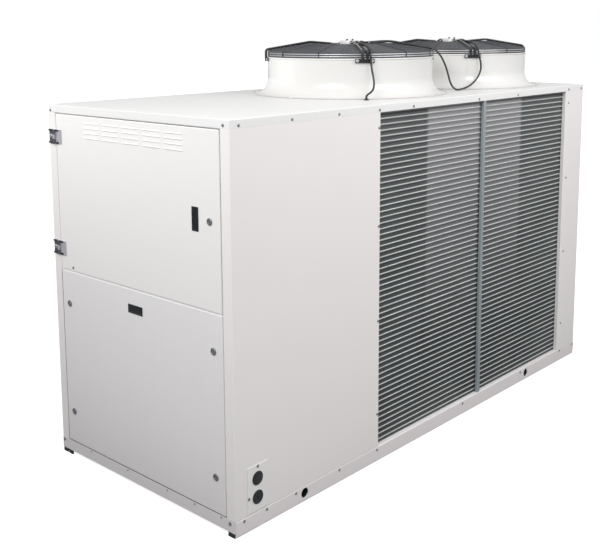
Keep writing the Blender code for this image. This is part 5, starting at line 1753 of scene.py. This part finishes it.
# %% Grommet
grommet = bmesh.new()
grommet_base = front_fan + Vector((0.365, -0.331, GAP))
collar = [(0.0, 0.0), (0.013, 0.0), (0.013, 0.0016), (0.0122, 0.0026), (0.0095, 0.0030),
          (0.0082, 0.0040), (0.0074, 0.0062), (0.0064, 0.0070), (0.0, 0.0070)]
add_turned(grommet, collar, grommet_base, steps=40)
finish_piece("roof_grommet", grommet, PULL_BLACK, instead=["cable_grommet"])

# %% [markdown]
# ## Screws
#
# The panels are held by self drilling screws with flanged hexagon heads. One helper makes a
# head from two turned profiles, a round flange and a hexagon, and each side of the machine
# gets one piece with all of its screws. Low plugs close the spare holes in the roof.

# %% Where the screws are
SCREW_RADIUS = 0.0062
SCREW_PROUD = 0.0032
FLUSH_PROUD = 0.0010
SIDE_SCREWS = [(0.045, 1.508), (0.315, 1.508), (0.581, 1.508), (0.835, 1.508), (1.070, 1.508),
               (1.588, 1.508), (1.944, 1.508), (2.480, 1.508), (2.626, 1.508), (0.833, 1.435),
               (0.833, 1.028), (0.833, 0.623), (0.833, 0.213), (2.483, 1.436), (2.483, 1.031),
               (2.483, 0.624), (2.483, 0.216)]
RAIL_SCREWS = [(0.044, 0.053), (0.162, 0.053), (0.323, 0.053), (0.584, 0.053), (0.833, 0.052),
               (1.500, 0.053), (2.050, 0.053), (2.483, 0.055), (2.635, 0.055)]
FRONT_SCREWS = [(0.015, 1.505), (1.069, 1.509), (0.136, 0.850)]
REAR_SCREWS = [(x, z) for z in (0.085, 0.55, 1.00, 1.45) for x in (0.075, 1.025)]
REAR_SCREWS += [(x, z) for z in (0.085, 1.465) for x in (0.40, 0.70)]
REAR_SCREWS += [(x, 1.514) for x in (0.03, 0.29, 0.55, 0.81, 1.07)]
BASE_BOLTS = [(0.014, 0.055), (1.071, 0.051)]
COVER_DOTS = [(0.211, 0.058), (0.465, 0.058), (0.715, 0.058), (0.876, 0.058), (1.024, 0.058)]
GLAND_SCREWS = [(0.115, 0.243), (0.068, 0.130)]
GLAND_SEAT = 0.0018
RING_SCREW_RADIUS = 0.457
RING_ANGLES = ((-150, -120, -90, -60, -30, 0, 180), (0, 30, 60, 90, 120, 150, 180))
print("screws in each long side:", len(SIDE_SCREWS) + len(RAIL_SCREWS))

# %% Drive the screws
def add_screw(shape, place, direction, radius, proud):
    """A hexagon head on a flange."""
    flange = [(0.0, 0.0), (radius, 0.0), (radius * 0.96, proud * 0.18), (radius * 0.72, proud * 0.30),
              (0.0, proud * 0.30)]
    add_turned(shape, flange, place, direction, 14)
    head = [(0.0, proud * 0.25), (radius * 0.62, proud * 0.25), (radius * 0.62, proud * 0.9),
            (radius * 0.5, proud), (0.0, proud)]
    add_turned(shape, head, place, direction, 6)


def screw_piece(name, places, direction, proud=SCREW_PROUD, radius=SCREW_RADIUS, finish=LOCK_GREY):
    """One piece with a screw at each place."""
    shape = bmesh.new()
    for place in places:
        add_screw(shape, place, direction, radius, proud)
    finish_piece(name, shape, finish)


right_places = [at(WIDTH, y, z) for y, z in SIDE_SCREWS + RAIL_SCREWS]
right_places += [at(WIDTH + GLAND_SEAT, y, z) for y, z in GLAND_SCREWS]
screw_piece("right_screws", right_places, (1, 0, 0))
left_places = [at(0.0, y, z) for y, z in SIDE_SCREWS + RAIL_SCREWS]
screw_piece("left_screws", left_places, (-1, 0, 0), FLUSH_PROUD)
screw_piece("front_screws", [at(x, 0.0, z) for x, z in FRONT_SCREWS], OUTWARDS)
screw_piece("base_bolts", [at(x, 0.0, z) for x, z in BASE_BOLTS], OUTWARDS, 0.0045, 0.0075)
screw_piece("cover_screws", [at(x, 0.0, z) for x, z in COVER_DOTS], OUTWARDS, 0.0024, 0.0038)
screw_piece("rear_screws", [at(x, LENGTH, z) for x, z in REAR_SCREWS], (0, 1, 0), FLUSH_PROUD)
ring_screws = []
for fan_y, angles in zip(FAN_Y, RING_ANGLES):
    base = at(FAN_X, fan_y, TOP + SHROUD_WALL + GAP)
    for angle in angles:
        turn = math.radians(angle)
        ring_screws.append(base + RING_SCREW_RADIUS * Vector((math.cos(turn), math.sin(turn), 0.0)))
screw_piece("ring_screws", ring_screws, (0, 0, 1), 0.0030, 0.0045, BRIGHT_ZINC)

# %% Roof plugs
ROOF_PLUGS = [(0.530, 0.045, 0.0), (0.945, 0.038, 0.0), (0.855, 1.660, 0.0),
              (0.540, 0.862, SHROUD_WALL), (0.583, 0.863, SHROUD_WALL)]
ROOF_DOME = [(0.0, 0.0), (0.0095, 0.0), (0.0090, 0.0009), (0.0060, 0.0022), (0.0, 0.0028)]

plugs = bmesh.new()
for x, y, seat in ROOF_PLUGS:
    add_turned(plugs, ROOF_DOME, at(x, y, TOP + seat + GAP), steps=24)
finish_piece("roof_plugs", plugs, ROOF_WHITE_SHADED)

# %% [markdown]
# ## The room and the light
#
# The machine stands on a pale floor in an even studio. The camera sees a white room, while
# the light that falls on the machine comes mostly from above and in front. So the roof is
# brightest and the panels grow darker towards the ground.

# %% Floor
FLOOR_REACH = 40.0
FLOOR_DROP = 0.0005
FLOOR_GLOW = 0.86
LIT_TONE = (0.12, 0.118, 0.12, 1.0)
SEEN_TONE = (0.50, 0.50, 0.50, 1.0)
WHITE = (1.0, 1.0, 1.0, 1.0)

floor_shape = bmesh.new()
bmesh.ops.create_grid(floor_shape, x_segments=1, y_segments=1, size=FLOOR_REACH,
                      matrix=Matrix.Translation((0.0, 0.0, -FLOOR_DROP)))
floor_mesh = bpy.data.meshes.new("studio_floor")
floor_shape.to_mesh(floor_mesh)
floor_shape.free()
floor = bpy.data.objects.new("studio_floor", floor_mesh)
bpy.context.scene.collection.objects.link(floor)
pale = bpy.data.materials.new("pale_floor")
pale.use_nodes = True
pale_shader = pale.node_tree.nodes["Principled BSDF"]
pale_shader.inputs["Roughness"].default_value = 0.9
seen = add(pale.node_tree, "LightPath").outputs["Is Camera Ray"]
floor_tone = mixed(pale.node_tree, seen, LIT_TONE, SEEN_TONE)
pale.node_tree.links.new(floor_tone, pale_shader.inputs["Base Color"])
pale_shader.inputs["Emission Color"].default_value = WHITE
pale.node_tree.links.new(figure(pale.node_tree, "MULTIPLY", seen, FLOOR_GLOW),
                         pale_shader.inputs["Emission Strength"])
floor_mesh.materials.append(pale)
print("floor laid")

# %% Lights
WORLD_LIGHT = 0.70


def soft_light(name, place, aim, size, power):
    """A soft box of a width and a height at a place, turned to a point, and returned."""
    data = bpy.data.lights.new(name, "AREA")
    data.shape = "RECTANGLE"
    data.size, data.size_y = size
    data.energy = power
    light = bpy.data.objects.new(name, data)
    light.location = place
    light.rotation_euler = (Vector(aim) - Vector(place)).to_track_quat("-Z", "Y").to_euler()
    light.visible_camera = False
    bpy.context.scene.collection.objects.link(light)
    return light


room = bpy.data.worlds.new("white_room")
room.use_nodes = True
room_tree = room.node_tree
room_shader = room_tree.nodes["Background"]
seen = add(room_tree, "LightPath").outputs["Is Camera Ray"]
room_tone = mixed(room_tree, seen, (WORLD_LIGHT, WORLD_LIGHT, WORLD_LIGHT, 1.0), WHITE)
room_tree.links.new(room_tone, room_shader.inputs["Color"])
bpy.context.scene.world = room
soft_light("front_light", (0.9, -3.3, 3.1), (0.1, -1.3, 1.2), (1.8, 1.2), 57.0)
soft_light("side_light", (3.0, 0.5, 3.2), (0.55, 0.4, 1.2), (3.2, 1.2), 76.0)
fill = soft_light("left_light", (-3.0, -1.9, 1.78), (0.0, 0.0, 1.70), (2.4, 1.2), 10.0)
fill.data.spread = math.radians(55.0)
fill.visible_glossy = False
bpy.context.scene.view_settings.view_transform = "Standard"
print("lights: 3 and a white room")
